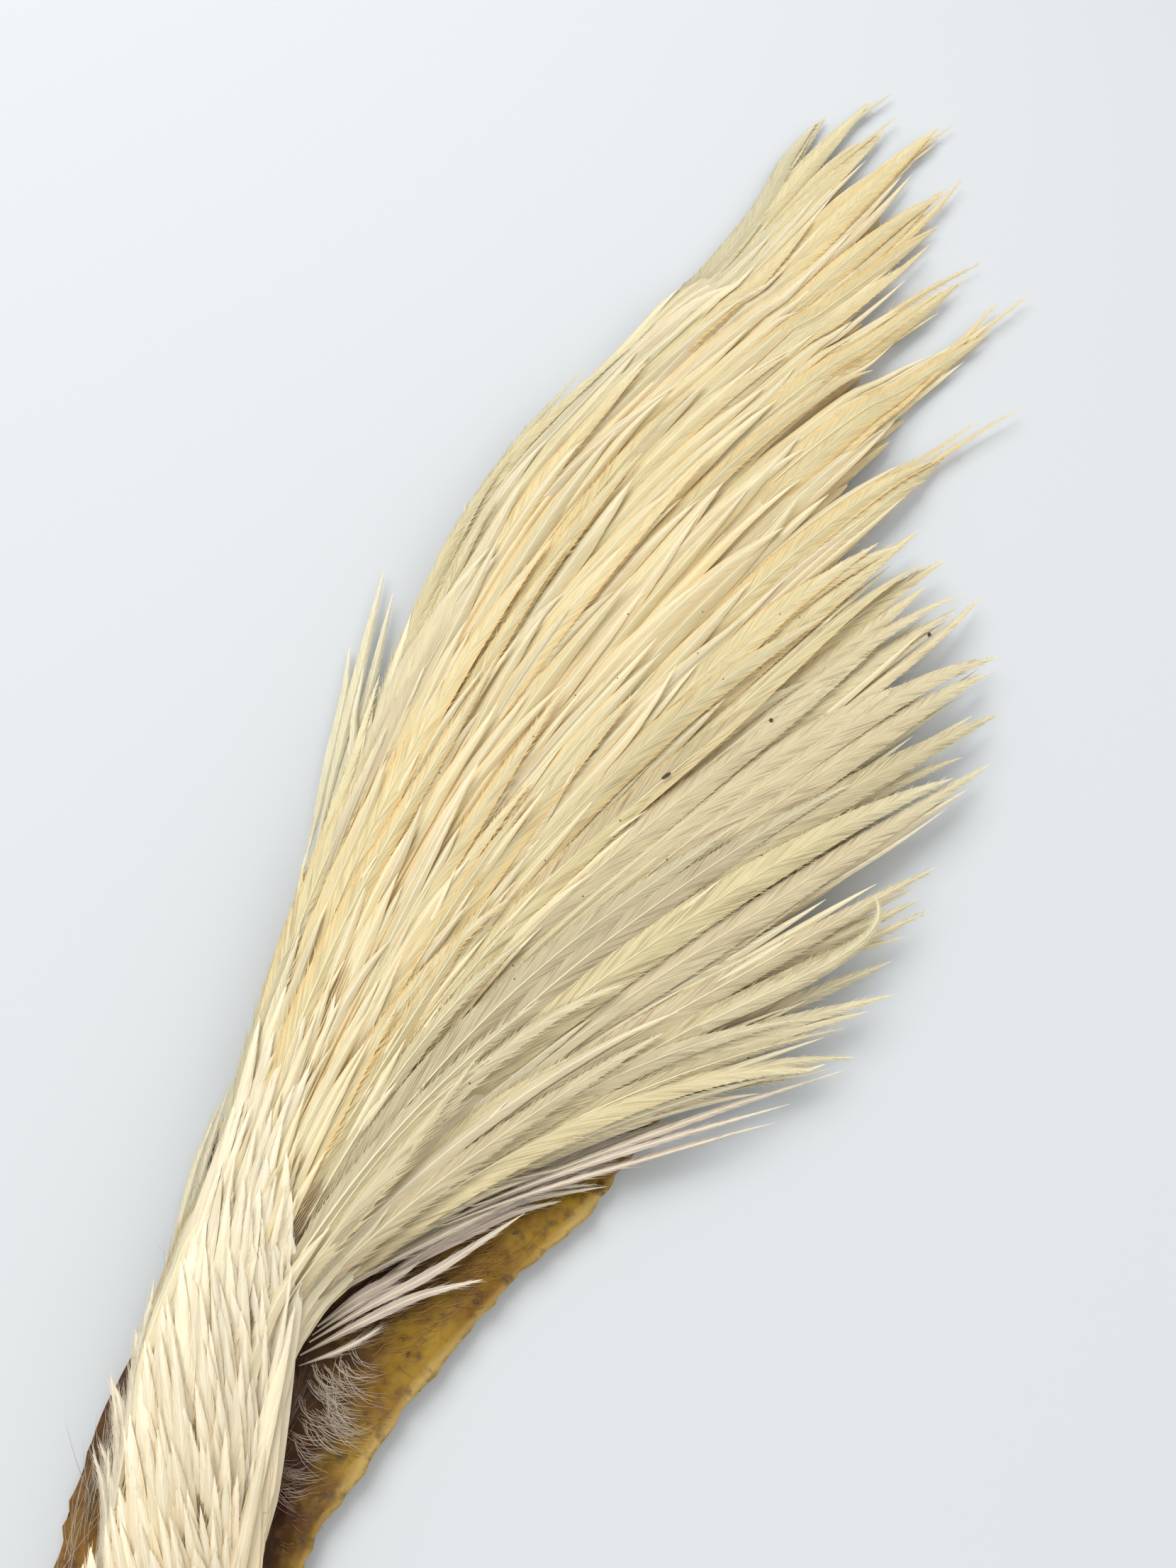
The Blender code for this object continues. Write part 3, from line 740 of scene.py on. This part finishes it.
HACKLE_NODES = [f"hackle_{n:02d}" for n in range(1, 38)]
ORDER = np.argsort(HACKLE_TIPS[1])
for part, (chosen, nodes) in enumerate(zip(np.array_split(ORDER, 5), np.array_split(HACKLE_NODES, 5)), 1):
    hackle_layer(f"hackles_{part}", chosen, 40 + part, [str(n) for n in nodes])


# THE OPEN HACKLES
# Hackles that lie open: a flat vane of slanting barbs with painted shade in the gaps between them, a raised
# quill along the middle and frayed barbs at the margins. They make the locks at the outline, most of the
# right side and the gauzy left edge. Made as the folded ones are, but wide and nearly flat.
# Its ivory is also darkened as painted shade over the right side of the fan; its dark root colour is painted
# shade, at the roots and in the gaps between its parted barbs.
OPEN_FINISH = feather_finish(
    "open_vane", (0.75, 0.65, 0.37), (0.62, 0.57, 0.38), (0.60, 0.49, 0.34), (0.27, 0.18, 0.10),
    (0.76, 0.70, 0.48), bump_depth=0.0001, gaps=0.13, pitch=0.85, parted=0.6,
)


def quills(feathers, half, fold, width, tone):
    """The raised quill of open feathers, along the ridge of the vane."""
    _, _, line, _, side, up = feathers
    ridge = line + up * (0.66 * half * fold)[..., None]
    return spikes(ridge, side[:, side.shape[1] // 2], width * MM, 0.9, tone, across=0.0, flat=0.7)


def open_hackles(name, spots, seed):
    rng = np.random.default_rng(seed)
    phi, s_tip, size = np.array(spots).T
    s_tip = s_tip * MM
    count = len(phi)
    right, left = ease((phi - 0.6) / 0.2), 1 - ease((phi - 0.04) / 0.14)
    s_root = np.maximum(s_tip - rng.uniform(75, 95, count) * MM, np.minimum(24 * MM, s_tip - 30 * MM))
    lift = (rng.uniform(0.1, 0.8, count) * (1 + 0.9 * right))[:, None] * MM
    sway = (rng.uniform(0.3, 1.5, count) * MM, rng.uniform(0.4, 1.0, count), rng.uniform(0, 1, count))

    def rise(p, s, t):
        return pile(p, s, t) + lift * ease(4 * t) - 0.7 * MM * (1 - ease(3 * t))

    t = np.linspace(0, 1, 28)[None, :]
    tilt = rng.normal(0, 0.16, count) + 0.4 * left * (1 - past(s_tip, 150, 60))
    roll = tilt[:, None] + 0.25 * rng.normal(0, 1, count)[:, None] * t
    start = np.clip(phi - rng.normal(0.01, 0.012, count), 0.05, 0.95)
    feathers = laid(start, phi, s_root, s_tip, rise, sway, roll)
    half = vane_half(size[:, None] * MM, t, 0.3, 2.4 + 1.6 * rng.random((count, 1)))
    fold = rng.uniform(0.14, 0.3, (count, 1))
    ivory = rng.uniform(0, 0.2, count) + 0.75 * np.maximum(right, left) * rng.random(count)
    rosy = rng.uniform(0, 0.55, count) * right
    tone = np.stack([ivory, rosy, 1 - 0.6 * right - 0.9 * left], -1)
    barbs = fringe(rng, feathers, half, fold, tone, 190, (1.6, 3.6), (0.2, 0.4), 0.11, foot=0.8)
    parts = blades(feathers, half, fold, tone), barbs, quills(feathers, half, fold, 0.28, tone)
    mesh_piece(name, parts, OPEN_FINISH, "hackles")


def open_spots():
    """Strand and distance of each tip, and half the feather's width, in mm."""
    rng = np.random.default_rng(61)
    spots = [
        (a + rng.normal(0, 0.006) * k, s - 4 * k, rng.uniform(1.5, 2.4) * (0.7 + 0.3 * (s > 120)))
        for a, s in LOCKS
        for k in range(3)
    ]
    spots = [(a, min(s, outline(a) / MM + 3), size) for a, s, size in spots]
    spots += [(rng.uniform(0.0, 0.05), s, rng.uniform(0.8, 1.2)) for s in np.linspace(64, 190, 16)]
    for s in rng.uniform(58, 150, 30):
        broad = 1.1 * float(ease((s - 60) / 60))
        spots.append((rng.uniform(0.58, 0.97), s, 1.0 + broad * rng.uniform(0.6, 1)))
    for s in rng.uniform(90, 230, 14):
        spots.append((rng.uniform(0.08, 0.6), s, rng.uniform(1.2, 1.8)))
    spots = [spot for spot in spots if spot[1] <= outline(spot[0]) / MM + 3]
    single = [(0.636, 208), (0.62, 199), (0.542, 241), (0.535, 233), (0.341, 268), (0.33, 262), (0.05, 291)]
    single += [(0.04, 284), (0.475, 243), (0.48, 236), (0.254, 288), (0.13, 281)]
    return spots + [(a, s, 0.75) for a, s in single]


OPEN_SPOTS = sorted(open_spots())
open_hackles("open_hackles_1", OPEN_SPOTS[: len(OPEN_SPOTS) // 2], 62)
open_hackles("open_hackles_2", OPEN_SPOTS[len(OPEN_SPOTS) // 2 :], 63)


# THE NECK FEATHERS
# Short, nearly white, pointed feathers that roof the narrow neck row on row, over the roots of the first
# hackles, on a bed of wider ones. Made as the hackles are, only shorter, softer and closer, and leaning to
# the left.
def neck_feathers():
    rng = np.random.default_rng(71)
    spots = []
    for bed, first, pitch, gap in ((1, 2.4, 2.8, 1.5), (0, 2.5, 3.7, 1.15)):
        for level in MM * np.arange(first, 61, pitch):
            phi = -0.02 + rng.uniform(0, 0.05)
            phi += 0.12 * float(past(level, 8, 6) * (1 - past(level, 34, 10)))
            while phi < 1.0:
                spots.append((phi, level + rng.uniform(-0.5, 0.5) * pitch * MM, rng.random(), bed))
                phi += rng.uniform(0.6, 1.4) * gap * MM / float(strand_gap(phi, level))
    phi_tip, s_tip, chance, bed = np.array(spots).T
    keep = (phi_tip < 0.97 - 0.5 * past(s_tip, 27, 20)) & (chance > 0.7 * past(s_tip, 44, 20))
    keep &= s_tip < 60 * MM - 18 * MM * bed
    phi_tip, s_tip, bed = (v[keep] for v in (phi_tip, s_tip, bed))
    count = len(phi_tip)
    # Whiter up the neck; toward the head end the warmer, darker colour is partly the feathers' own and partly
    # painted shade over the head end.
    low, white = 1 - past(s_tip, 20, 16), past(s_tip, 18, 16)
    s_root = np.maximum(s_tip - (rng.uniform(11, 17, count) + 3 * low) * MM, 0.5 * MM)
    lean = 6.0 - 1.6 * past(s_tip, 12, 14) - 4.0 * past(s_tip, 30, 22)
    lean = (lean + rng.normal(0, 0.7, count)) * (s_tip - s_root) / 14
    phi = np.clip(phi_tip + lean / strand_gap(phi_tip, s_root), 0.13, 0.97 - 0.08 * rng.random(count))
    lift = rng.normal(0, 0.1 * MM, count) - 0.28 * MM * bed
    flare = rng.uniform(-0.1, 0.7, count) * (1 - bed) * (1 - 0.7 * low) * MM

    def rise(p, s, t):
        inside = np.clip(p, 0, 1)
        roof = 2.3 * MM * (0.25 + 0.75 * (4 * inside * (1 - inside)) ** 0.5) * (1 - 0.4 * past(s, 38, 22))
        return 0.8 * MM + roof * (0.4 + 0.6 * t) + lift[:, None] + flare[:, None] * t**4

    sway = (rng.uniform(0.02, 0.16, count) * MM, rng.uniform(0.5, 1.1, count), rng.random(count))
    t = np.linspace(0, 1, 14)[None, :]
    edge = 0.5 * (1 - ease(phi_tip / 0.25)) - 0.5 * ease((phi_tip - 0.75) / 0.25)
    roll = (rng.normal(0, 0.13, count) + edge)[:, None] + rng.normal(0, 0.12, count)[:, None] * t
    feathers = laid(phi, phi_tip, s_root, s_tip, rise, sway, roll, straight=0.85)
    size = np.where(bed > 0, rng.uniform(1.4, 2.0, count), rng.uniform(0.6, 0.95, count)) * MM
    size = size * (1 + 0.4 * (1 - bed) * low)
    half = vane_half(size[:, None], t, 0.7, 1.5 + rng.random((count, 1)), 0.015 * MM)
    fold = np.where(bed > 0, 0.1, rng.uniform(0.16, 0.32, count) * (1 - 0.3 * low))[:, None]
    ivory = np.clip(rng.beta(1.2, 2.5, count) + 0.6 * white, 0, 1)
    tone = np.stack([ivory, rng.beta(1, 6, count), 1 - 0.5 * white], -1)
    barbs = fringe(rng, feathers, half, fold, tone, 26, (1.4, 3.4), (0.03, 0.13), 0.06, first=0.4)
    # Its warm colour, worn toward the head end, is kept darker partly as painted shade there.
    finish = feather_finish(
        "neck_vane", (0.82, 0.72, 0.51), (0.96, 0.88, 0.66), (0.80, 0.68, 0.51), (0.80, 0.68, 0.47),
        (0.96, 0.91, 0.76), gaps=0.08, crease_shade=0.35,
    )
    nodes = [f"neck_feather_{n:02d}" for n in range(1, 15)]
    mesh_piece("neck_feathers", [blades(feathers, half, fold, tone), barbs], finish, "neck_feathers", *nodes)


neck_feathers()


# THE LOOSE HACKLES
# Thin, greyish feathers that stand clear of the rest: a sparse spray that grows from the foot of the fan
# out over the bare hide, the longest of them past its edge, pale ones all along the left edge, and one on
# the right side whose tip curls back. Thin blades with frayed barbs, most of them placed one by one.
SPRAY = (  # width, then root to tip in plan, in mm: the sparse feathers over the bare hide
    (0.8, (4.4, 6.8), (8.6, 10.6), (12.7, 14.2), (18.2, 17.3)),
    (0.4, (4.6, 6.0), (7.5, 7.9), (9.1, 9.3), (10.6, 11.0)),
    (0.8, (4.8, 8.0), (8.6, 11.9), (13.4, 16.3), (20.4, 24.2)),
    (0.5, (4.8, 8.6), (7.8, 12.0), (9.8, 13.9), (12.4, 15.6)),
    (0.7, (7.0, 12.0), (12.7, 18.6), (19.1, 24.9), (27.6, 29.0)),
    (0.7, (9.0, 14.6), (14.0, 20.8), (20.9, 26.6), (26.6, 28.9)),
    (1.1, (10.6, 17.0), (15.6, 22.6), (22.4, 28.5), (28.0, 31.5)),
    (0.9, (5.0, 9.4), (7.8, 12.8), (10.5, 15.3), (12.3, 17.5)),
    (1.1, (11.6, 18.8), (17.8, 23.8), (22.7, 28.6), (25.7, 32.2)),
    (1.0, (12.6, 20.6), (20.0, 27.6), (27.0, 33.2), (34.0, 38.4)),
    (0.9, (8.0, 13.4), (13.6, 19.0), (19.0, 23.8), (23.6, 26.4)),
)
GAUZE = (  # the same for the pale feathers that lie against the left edge
    (0.8, (-9.0, 8.0), (-10.3, 15.5), (-11.1, 20.1), (-11.4, 25.4)),
    (0.7, (-8.4, 9.0), (-9.7, 16.4), (-10.6, 22.0), (-11.2, 27.0)),
    (0.7, (-8.0, 14.0), (-9.2, 22.0), (-10.4, 29.0), (-11.2, 34.0)),
    (0.8, (-8.8, 24.0), (-9.8, 33.0), (-10.6, 40.0), (-11.6, 46.5)),
    (0.8, (-9.4, 36.0), (-11.0, 46.0), (-12.6, 54.0), (-14.2, 62.0)),
    (1.5, (-13.3, 51.8), (-14.6, 59.1), (-17.5, 74.8), (-19.9, 82.8)),
    (1.7, (-12.9, 53.9), (-14.2, 61.4), (-17.0, 77.8), (-20.2, 96.2)),
    (1.4, (-12.7, 55.5), (-13.4, 60.5), (-14.9, 75.9), (-17.8, 92.9)),
)
LONG_ONES = (  # strand at root and tip, distance at root and tip, width: they pass the corner of the hide
    (1.0, 1.43, 44, 75.6, 0.8), (0.99, 1.38, 43, 72, 0.6), (0.98, 1.24, 46, 80, 0.9),
    (0.97, 1.09, 48, 89.6, 1.0), (0.98, 1.12, 42, 70, 0.8), (0.97, 1.02, 44, 68, 0.9),
    (0.98, 1.06, 48, 76, 0.9), (0.99, 1.28, 43, 66, 0.6), (0.98, 1.10, 34, 58, 0.9),
    (0.98, 1.16, 33, 54, 0.8), (0.97, 1.05, 32, 60, 1.0), (0.98, 1.20, 37, 62, 0.7),
    (0.97, 1.08, 30, 50, 0.8),
)
CURL = (  # root to tip, in mm
    (22, 36.5, 1.5), (28, 42.6, 4.4), (33.4, 47.6, 6.0), (40.3, 53.7, 6.6), (45.3, 58.4, 6.6),
    (48.6, 62.3, 6.4), (50.1, 65.1, 6.2), (50.4, 67.4, 6), (49.8, 69.1, 5.8),
)


def led(points, stations):
    """The feather tuple of feathers led through these points, (feather, point, 3) in mm."""
    points = MM * np.array(points, float)
    k = np.linspace(0, points.shape[1] - 1, stations)
    line = between(points, np.broadcast_to(k, (len(points), stations)))
    for _ in range(6):
        line[:, 1:-1] = (line[:, :-2] + 2 * line[:, 1:-1] + line[:, 2:]) / 4
    far = np.linalg.norm(np.diff(line, axis=1), axis=-1)
    s = np.concatenate([np.zeros((len(line), 1)), np.cumsum(far, axis=1)], 1)
    return (s / s[:, -1:], s, line, *directions(line))


def measured(rng, rows, heights):
    """Feathers of rows in plan, and their widths."""
    table = np.array([[(*spot, high) for spot, high in zip(row[1:], heights)] for row in rows])
    table[..., 2] += rng.uniform(-0.3, 0.3, (len(table), 1))
    return led(table, STATIONS), np.array([row[0] for row in rows])


def drawn(rng, rows, over, bend):
    """Feathers of rows of strand at root and tip, distance at root and tip, and width, and their widths."""
    phi, phi_tip, s_root, s_tip, size = np.array(rows).T
    count = len(rows)
    sway = (rng.uniform(0.1, 0.35, count) * MM, rng.uniform(0.5, 1.0, count), rng.random(count))
    over = rng.uniform(*over, count)[:, None] * MM
    roll = np.zeros((count, STATIONS))
    feathers = laid(
        phi, phi_tip, s_root * MM, s_tip * MM, lambda p, s, t: over * (1 - 0.6 * t), sway, roll, bend=bend
    )
    return feathers, size


def thin_blades(rng, feathers, width, rosy, fold, quill, point, number, long=(1.6, 4.0), ahead=0.0):
    """Blades and barbs of thin feathers; ahead keeps the colour of the root away from them."""
    count = len(width)
    half = vane_half(0.5 * width[:, None] * MM, feathers[0], quill, point)
    fold = np.full((count, 1), fold)
    ivory = np.where(rosy > 0.3, rng.uniform(0.5, 1, count), rng.uniform(0, 0.6, count))
    tone = np.stack([ivory, rosy, np.full(count, 0.3)], -1)
    points, faces, vane, tones = blades(feathers, half, fold, tone)
    vane[:, 2] = np.maximum(vane[:, 2], ahead)
    barbs = fringe(rng, feathers, half, fold, tone, number, long, (0.05, 0.26), 0.045)
    return [(points, faces, vane, tones), barbs]


def loose_hackles():
    rng = np.random.default_rng(83)
    feathers, size = drawn(rng, LONG_ONES, (0.6, 1.8), 0.85)
    parts = thin_blades(rng, feathers, size, rng.uniform(0.35, 0.8, len(size)), 0.35, 0.12, 2, 60)
    feathers, size = measured(rng, SPRAY, (1.7, 2.7, 2.6, 2.0))
    rosy = np.clip(rng.normal(0.7, 0.15, len(size)), 0, 1)
    parts += thin_blades(rng, feathers, 1.4 * size, rosy, 0.12, 0.12, 2.4, 60, (1.2, 3.4))
    # Its dark root colour is painted shade: the roots of the spray lie in the shadow at the foot of the fan;
    # its gaps between parted barbs are painted shade too.
    finish = feather_finish(
        "loose_vane", (0.74, 0.68, 0.46), (0.69, 0.64, 0.53), (0.60, 0.49, 0.42), (0.17, 0.11, 0.06),
        (0.80, 0.74, 0.62), pitch=1.2, parted=0.7,
    )
    mesh_piece("loose_hackles", parts, finish, "hackles", "loose_hackle_3", "loose_hackle_4")


def edge_hackles():
    rng = np.random.default_rng(84)
    rows = [
        (0.09, rng.uniform(-0.03, 0.05), s, s + rng.uniform(24, 38), rng.uniform(1.0, 1.8))
        for s in np.arange(28, 150, 3.4)
    ]
    rows += [
        (0.12, rng.uniform(-0.08, 0.0), s, s + rng.uniform(8, 13), rng.uniform(0.5, 0.9))
        for s in np.arange(3, 34, 1.6)
    ]
    rows.append((0.04, -0.16, 60, 100, 1.2))
    feathers, size = drawn(rng, rows, (0.2, 0.9), 3.0)
    rosy = np.where(feathers[1][:, -1] < 46 * MM, 0.7, 0.1)
    parts = thin_blades(rng, feathers, size, rosy, 0.4, 0.35, 4, 70, ahead=0.35)
    feathers, size = measured(rng, GAUZE, (2.6, 2.6, 1.9, 1.3))
    parts += thin_blades(rng, feathers, size, np.full(len(size), 0.1), 0.3, 0.12, 3, 90, ahead=0.35)
    finish = feather_finish(
        "edge_vane", (0.77, 0.72, 0.49), (0.70, 0.66, 0.50), (0.76, 0.68, 0.55), (0.55, 0.50, 0.38),
        (0.84, 0.78, 0.63), crease_shade=0.3,
    )
    mesh_piece("edge_hackles", parts, finish, "hackles", "loose_hackle_1", "loose_hackle_2")


def curled_hackle():
    rng = np.random.default_rng(89)
    feather = led([CURL], 44)
    half = vane_half(1.3 * MM, feather[0], 0.02, 3.0)
    fold = np.full((1, 1), 0.3)
    tone = np.array([[0.75, 0.1, 0.3]])
    barbs = fringe(rng, feather, half, fold, tone, 320, (1.2, 2.8), (0.12, 0.35), 0.06)
    parts = blades(feather, half, fold, tone), barbs, quills(feather, half, fold, 0.26, tone)
    mesh_piece("curled_hackle", parts, OPEN_FINISH, "hackles")


loose_hackles()
edge_hackles()
curled_hackle()


# THE DOWN
# What is left of the down on the bare hide: a swirl of whitish hairs beside the neck, golden fuzz up to
# the fan, and grey-brown wisps along the left edge and where the neck feathers end, the last ones dark
# partly as painted shadow along the neck. Thin spikes in arcs, strewn over four-cornered patches.
WHITE_DOWN = (  # corners in plan, number, heading at root and at tip, length, width, height, tones, foot
    (((5.6, 6.6), (8.6, 8.8), (8.6, 5.6), (5.8, 2.6)), 17, 150, 80, (3.5, 7.0), 0.05, 1.4, (0, 0.8), 1.45),
    (((5.8, 2.6), (9.0, 4.6), (10.0, 1.6), (5.8, 0.0)), 18, 120, 78, (2.0, 5.0), 0.05, 1.1, (0, 1.1), 1.45),
    (((5.6, 0), (9, 1), (8, -4), (5.4, -4)), 14, 100, 75, (1.5, 3.5), 0.05, 0.8, (0.5, 1.6), 1.45),
)
GOLDEN_FUZZ = (
    (((7, 9), (13, 8), (21, 21), (13, 19)), 300, 70, 48, (1.5, 4.0), 0.045, 0.6, (0, 1), 1.45),
    (((8, -8), (9.5, -8), (14, 6), (10, 6)), 110, 100, 70, (0.6, 1.6), 0.045, 0.4, (0, 1), 1.45),
)
GREY_WISPS = (
    (((-8.2, -14), (-6.6, -14), (-7.6, 16), (-8.8, 16)), 170, -16, -6, (3, 7), 0.05, 0.9, (0, 0.5), 1.45),
    (((-9.2, 10), (-8.4, 10), (-9.0, 45), (-9.8, 45)), 260, -28, -12, (1.5, 4.5), 0.04, 0.8, (0, 0.3), 2.2),
    (((-9.4, 45), (-8.6, 45), (-9.8, 84), (-11.0, 84)), 260, -28, -10, (1.5, 4.5), 0.04, 0.8, (0, 0.3), 2.4),
    # Dark wisps along the right edge of the neck: their dark tone is partly painted shadow along that edge.
    (((4.6, -8), (6.2, -8), (5.6, 3), (4.6, 3)), 170, 4, -16, (2, 5), 0.05, 1.5, (0.6, 1.5), 1.45),
)


def strewn(rng, corners, number):
    """Random points in a four-cornered patch in plan."""
    u, v = rng.random((2, number, 1))
    a, b, c, d = MM * np.array(corners, float)
    return (a * (1 - u) + b * u) * (1 - v) + (d * (1 - u) + c * u) * v


def hairs(rng, tuft, corners, number, start, finish, length, width, height, deep, foot):
    """Hairs, so many to a tuft, that leave the hide in one heading and come down in another."""
    spots = strewn(rng, corners, number)
    t = np.linspace(0, 1, 6)
    heading = np.repeat(rng.normal(0, 14, (number, 1)), tuft, axis=0)
    heading = heading + (rng.normal(0, 5, heading.shape) if tuft > 1 else 0)
    long = np.repeat(rng.uniform(*length, (number, 1)), tuft, axis=0) * MM / 5
    long = long * rng.uniform(0.75, 1.05, long.shape)
    spots = np.repeat(spots, tuft, axis=0)
    spots = spots + (rng.normal(0, 0.22 * MM, spots.shape) if tuft > 1 else 0)
    number = len(spots)
    turn = np.radians(heading + start + (finish - start) * ease(t)[None, :])
    x = spots[:, :1] + np.cumsum(np.sin(turn) * long, axis=1) - np.sin(turn[:, :1]) * long
    y = spots[:, 1:] + np.cumsum(np.cos(turn) * long, axis=1) - np.cos(turn[:, :1]) * long
    arc = rng.uniform(0.3, 1.0, (number, 1)) * height * MM * np.sin(math.pi * (0.08 + 0.84 * t))[None, :]
    lines = np.stack([x, y, foot * MM + arc], -1)
    side = unit(np.cross(lines[:, -1] - lines[:, 0], (0, 0, 1)))
    tone = np.stack([rng.uniform(*deep, number), rng.random(number), rng.random(number)], -1)
    return spikes(lines, side, width * MM, 0.5, tone, flat=0.6)


down_rng = np.random.default_rng(97)
for name, patches, tuft, light, deep in (
    ("white_down", WHITE_DOWN, 5, (0.72, 0.64, 0.54), (0.42, 0.33, 0.25)),
    ("golden_fuzz", GOLDEN_FUZZ, 1, (0.42, 0.25, 0.07), (0.16, 0.08, 0.02)),
    # The dark tone of the grey wisps is partly painted shadow where they lie along the neck's right edge.
    ("grey_wisps", GREY_WISPS, 1, (0.66, 0.61, 0.53), (0.16, 0.12, 0.10)),
):
    down_finish, down_tree, down_shader = new_finish(name, 0.6)
    shaded = blend_colour(kept_on(down_tree, "tone")[0], light, deep)
    join(shaded, down_shader.inputs["Base Color"])
    mesh_piece(name, [hairs(down_rng, tuft, *patch) for patch in patches], down_finish, "under_hackles")


# THE SPECKS
# Bits of dirt and seed husk that cling to the feathers and the bare hide: hard, dark, each no longer than a
# grain. Small lumps, pressed into the surface where they lie.
DIRT = (  # x, y, half length and half width in mm, and turn
    (22.1, 74.7, 0.8, 0.22, 35), (33.1, 88.2, 0.3, 0.26, 20), (53.1, 113.9, 0.45, 0.2, 0),
    (53.1, 113.9, 0.4, 0.16, 70), (53.3, 113.8, 0.4, 0.14, 130), (20.1, 22.3, 0.35, 0.12, 60),
    (18.2, 15.3, 0.3, 0.16, 80), (13.6, 9.5, 0.26, 0.14, 10),
)
CRUMBS = 22


def specks():
    rng = np.random.default_rng(101)
    crumbs = zip(rng.uniform(-4, 40, CRUMBS), rng.uniform(25, 110, CRUMBS))
    dirt = [*DIRT, *((x, y, rng.uniform(0.08, 0.14), 0.08, rng.uniform(0, 180)) for x, y in crumbs)]
    under = ["hide", "under_feathers", "neck_feathers", "open_hackles_1", "open_hackles_2"]
    ground = [bpy.data.objects[name] for name in under + [f"hackles_{n}" for n in range(1, 6)]]
    bpy.context.view_layer.update()
    made = []
    for x, y, long, wide, turn in dirt:
        seen = [o.ray_cast((x * MM, y * MM, 0.05), (0, 0, -1)) for o in ground]
        top = max((place.z for hit, place, _, _ in seen if hit), default=None)
        if top is None:
            continue
        place = (x * MM, y * MM, top + 0.3 * wide * MM)
        bpy.ops.mesh.primitive_ico_sphere_add(subdivisions=2, radius=MM, location=place)
        lump = bpy.context.object
        lump.scale = (wide, long, 0.8 * wide)
        lump.rotation_euler = (0, 0, -math.radians(turn))
        bpy.ops.object.transform_apply(location=True, rotation=True, scale=True)
        made.append(lump)
    bpy.ops.object.select_all(action="DESELECT")
    for lump in made:
        lump.select_set(True)
    bpy.context.view_layer.objects.active = made[0]
    bpy.ops.object.join()
    made[0].name = "specks"
    bpy.ops.object.transform_apply(location=True, rotation=True, scale=True)
    finish, tree, shader = new_finish("dark_husk", 0.6)
    mottled = cloud(node(tree, "ShaderNodeTexCoord").outputs["Object"], 0.5)
    colour = blend_colour(mottled, (0.030, 0.020, 0.016), (0.10, 0.065, 0.045))
    join(colour, shader.inputs["Base Color"])
    made[0].data.materials.append(finish)
    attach(made[0], "root")


specks()


# THE SETTING
# A plain pale floor under the hide, a large soft light high on the left, a weaker one on the right, and the
# camera close over the neck, looking along the fan.
bpy.ops.mesh.primitive_plane_add(size=6, location=(0, 0, 0))
floor = bpy.context.object
floor.name = "floor"
floor_finish, _, floor_shader = new_finish("pale_floor", 0.9)
fill(floor_shader, Base_Color=(0.62, 0.657, 0.696, 1), Specular_IOR_Level=0.2)
floor.data.materials.append(floor_finish)


def aimed(place, aim):
    back = unit(np.array(place, float) - np.array(aim, float))
    side = unit(np.cross((0, 0, 1), back))
    up = np.cross(back, side)
    rows = np.stack([side, up, back], 1).tolist()
    return Matrix([(*row, spot) for row, spot in zip(rows, place)] + [(0, 0, 0, 1)])


for name, place, size, power, colour in (
    ("key", (-0.55, 0.35, 0.75), 0.7, 7.2, (1.0, 0.98, 0.94)),
    ("fill", (0.6, -0.3, 0.8), 0.9, 1.7, (1.0, 0.985, 0.96)),
):
    light = bpy.data.lights.new(name, "AREA")
    light.size = size
    light.energy = power
    light.color = colour
    lamp = bpy.data.objects.new(name, light)
    lamp.matrix_world = aimed(place, (0.01, 0.1, 0))
    bpy.context.scene.collection.objects.link(lamp)

world = bpy.context.scene.world or bpy.data.worlds.new("studio")
bpy.context.scene.world = world
world.use_nodes = True
fill(world.node_tree.nodes["Background"], Color=(1.0, 0.985, 0.955, 1), Strength=0.69)
bpy.context.scene.view_settings.view_transform = "Standard"

CAMERA_HEIGHT = 118 * MM
CAMERA_RIGHT = 10 * MM
PICTURE_HEIGHT = 2212
FOCAL = 1600.0  # in pixels of the picture, as is the place where lines along +Y would meet
SENSOR = 36
HORIZON_LEAN = math.radians(20.8)
vanish = np.array([749.0, -2402.0, FOCAL])
ahead = vanish / np.linalg.norm(vanish)
across = np.array([math.sin(HORIZON_LEAN), -math.cos(HORIZON_LEAN)])
above = np.append(across * FOCAL, -(across @ vanish[:2]))
above /= np.linalg.norm(above)
right = np.cross(ahead, above)
right /= np.linalg.norm(right)
camera_data = bpy.data.cameras.new("camera")
camera_data.sensor_width = SENSOR
camera_data.lens = FOCAL / PICTURE_HEIGHT * SENSOR
camera_data.clip_start = 0.005
camera = bpy.data.objects.new("camera", camera_data)
bpy.context.scene.collection.objects.link(camera)
camera.matrix_world = Matrix(
    (
        (right[0], -right[1], -right[2], CAMERA_RIGHT),
        (ahead[0], -ahead[1], -ahead[2], 0),
        (above[0], -above[1], -above[2], CAMERA_HEIGHT),
        (0, 0, 0, 1),
    )
)
bpy.context.scene.camera = camera
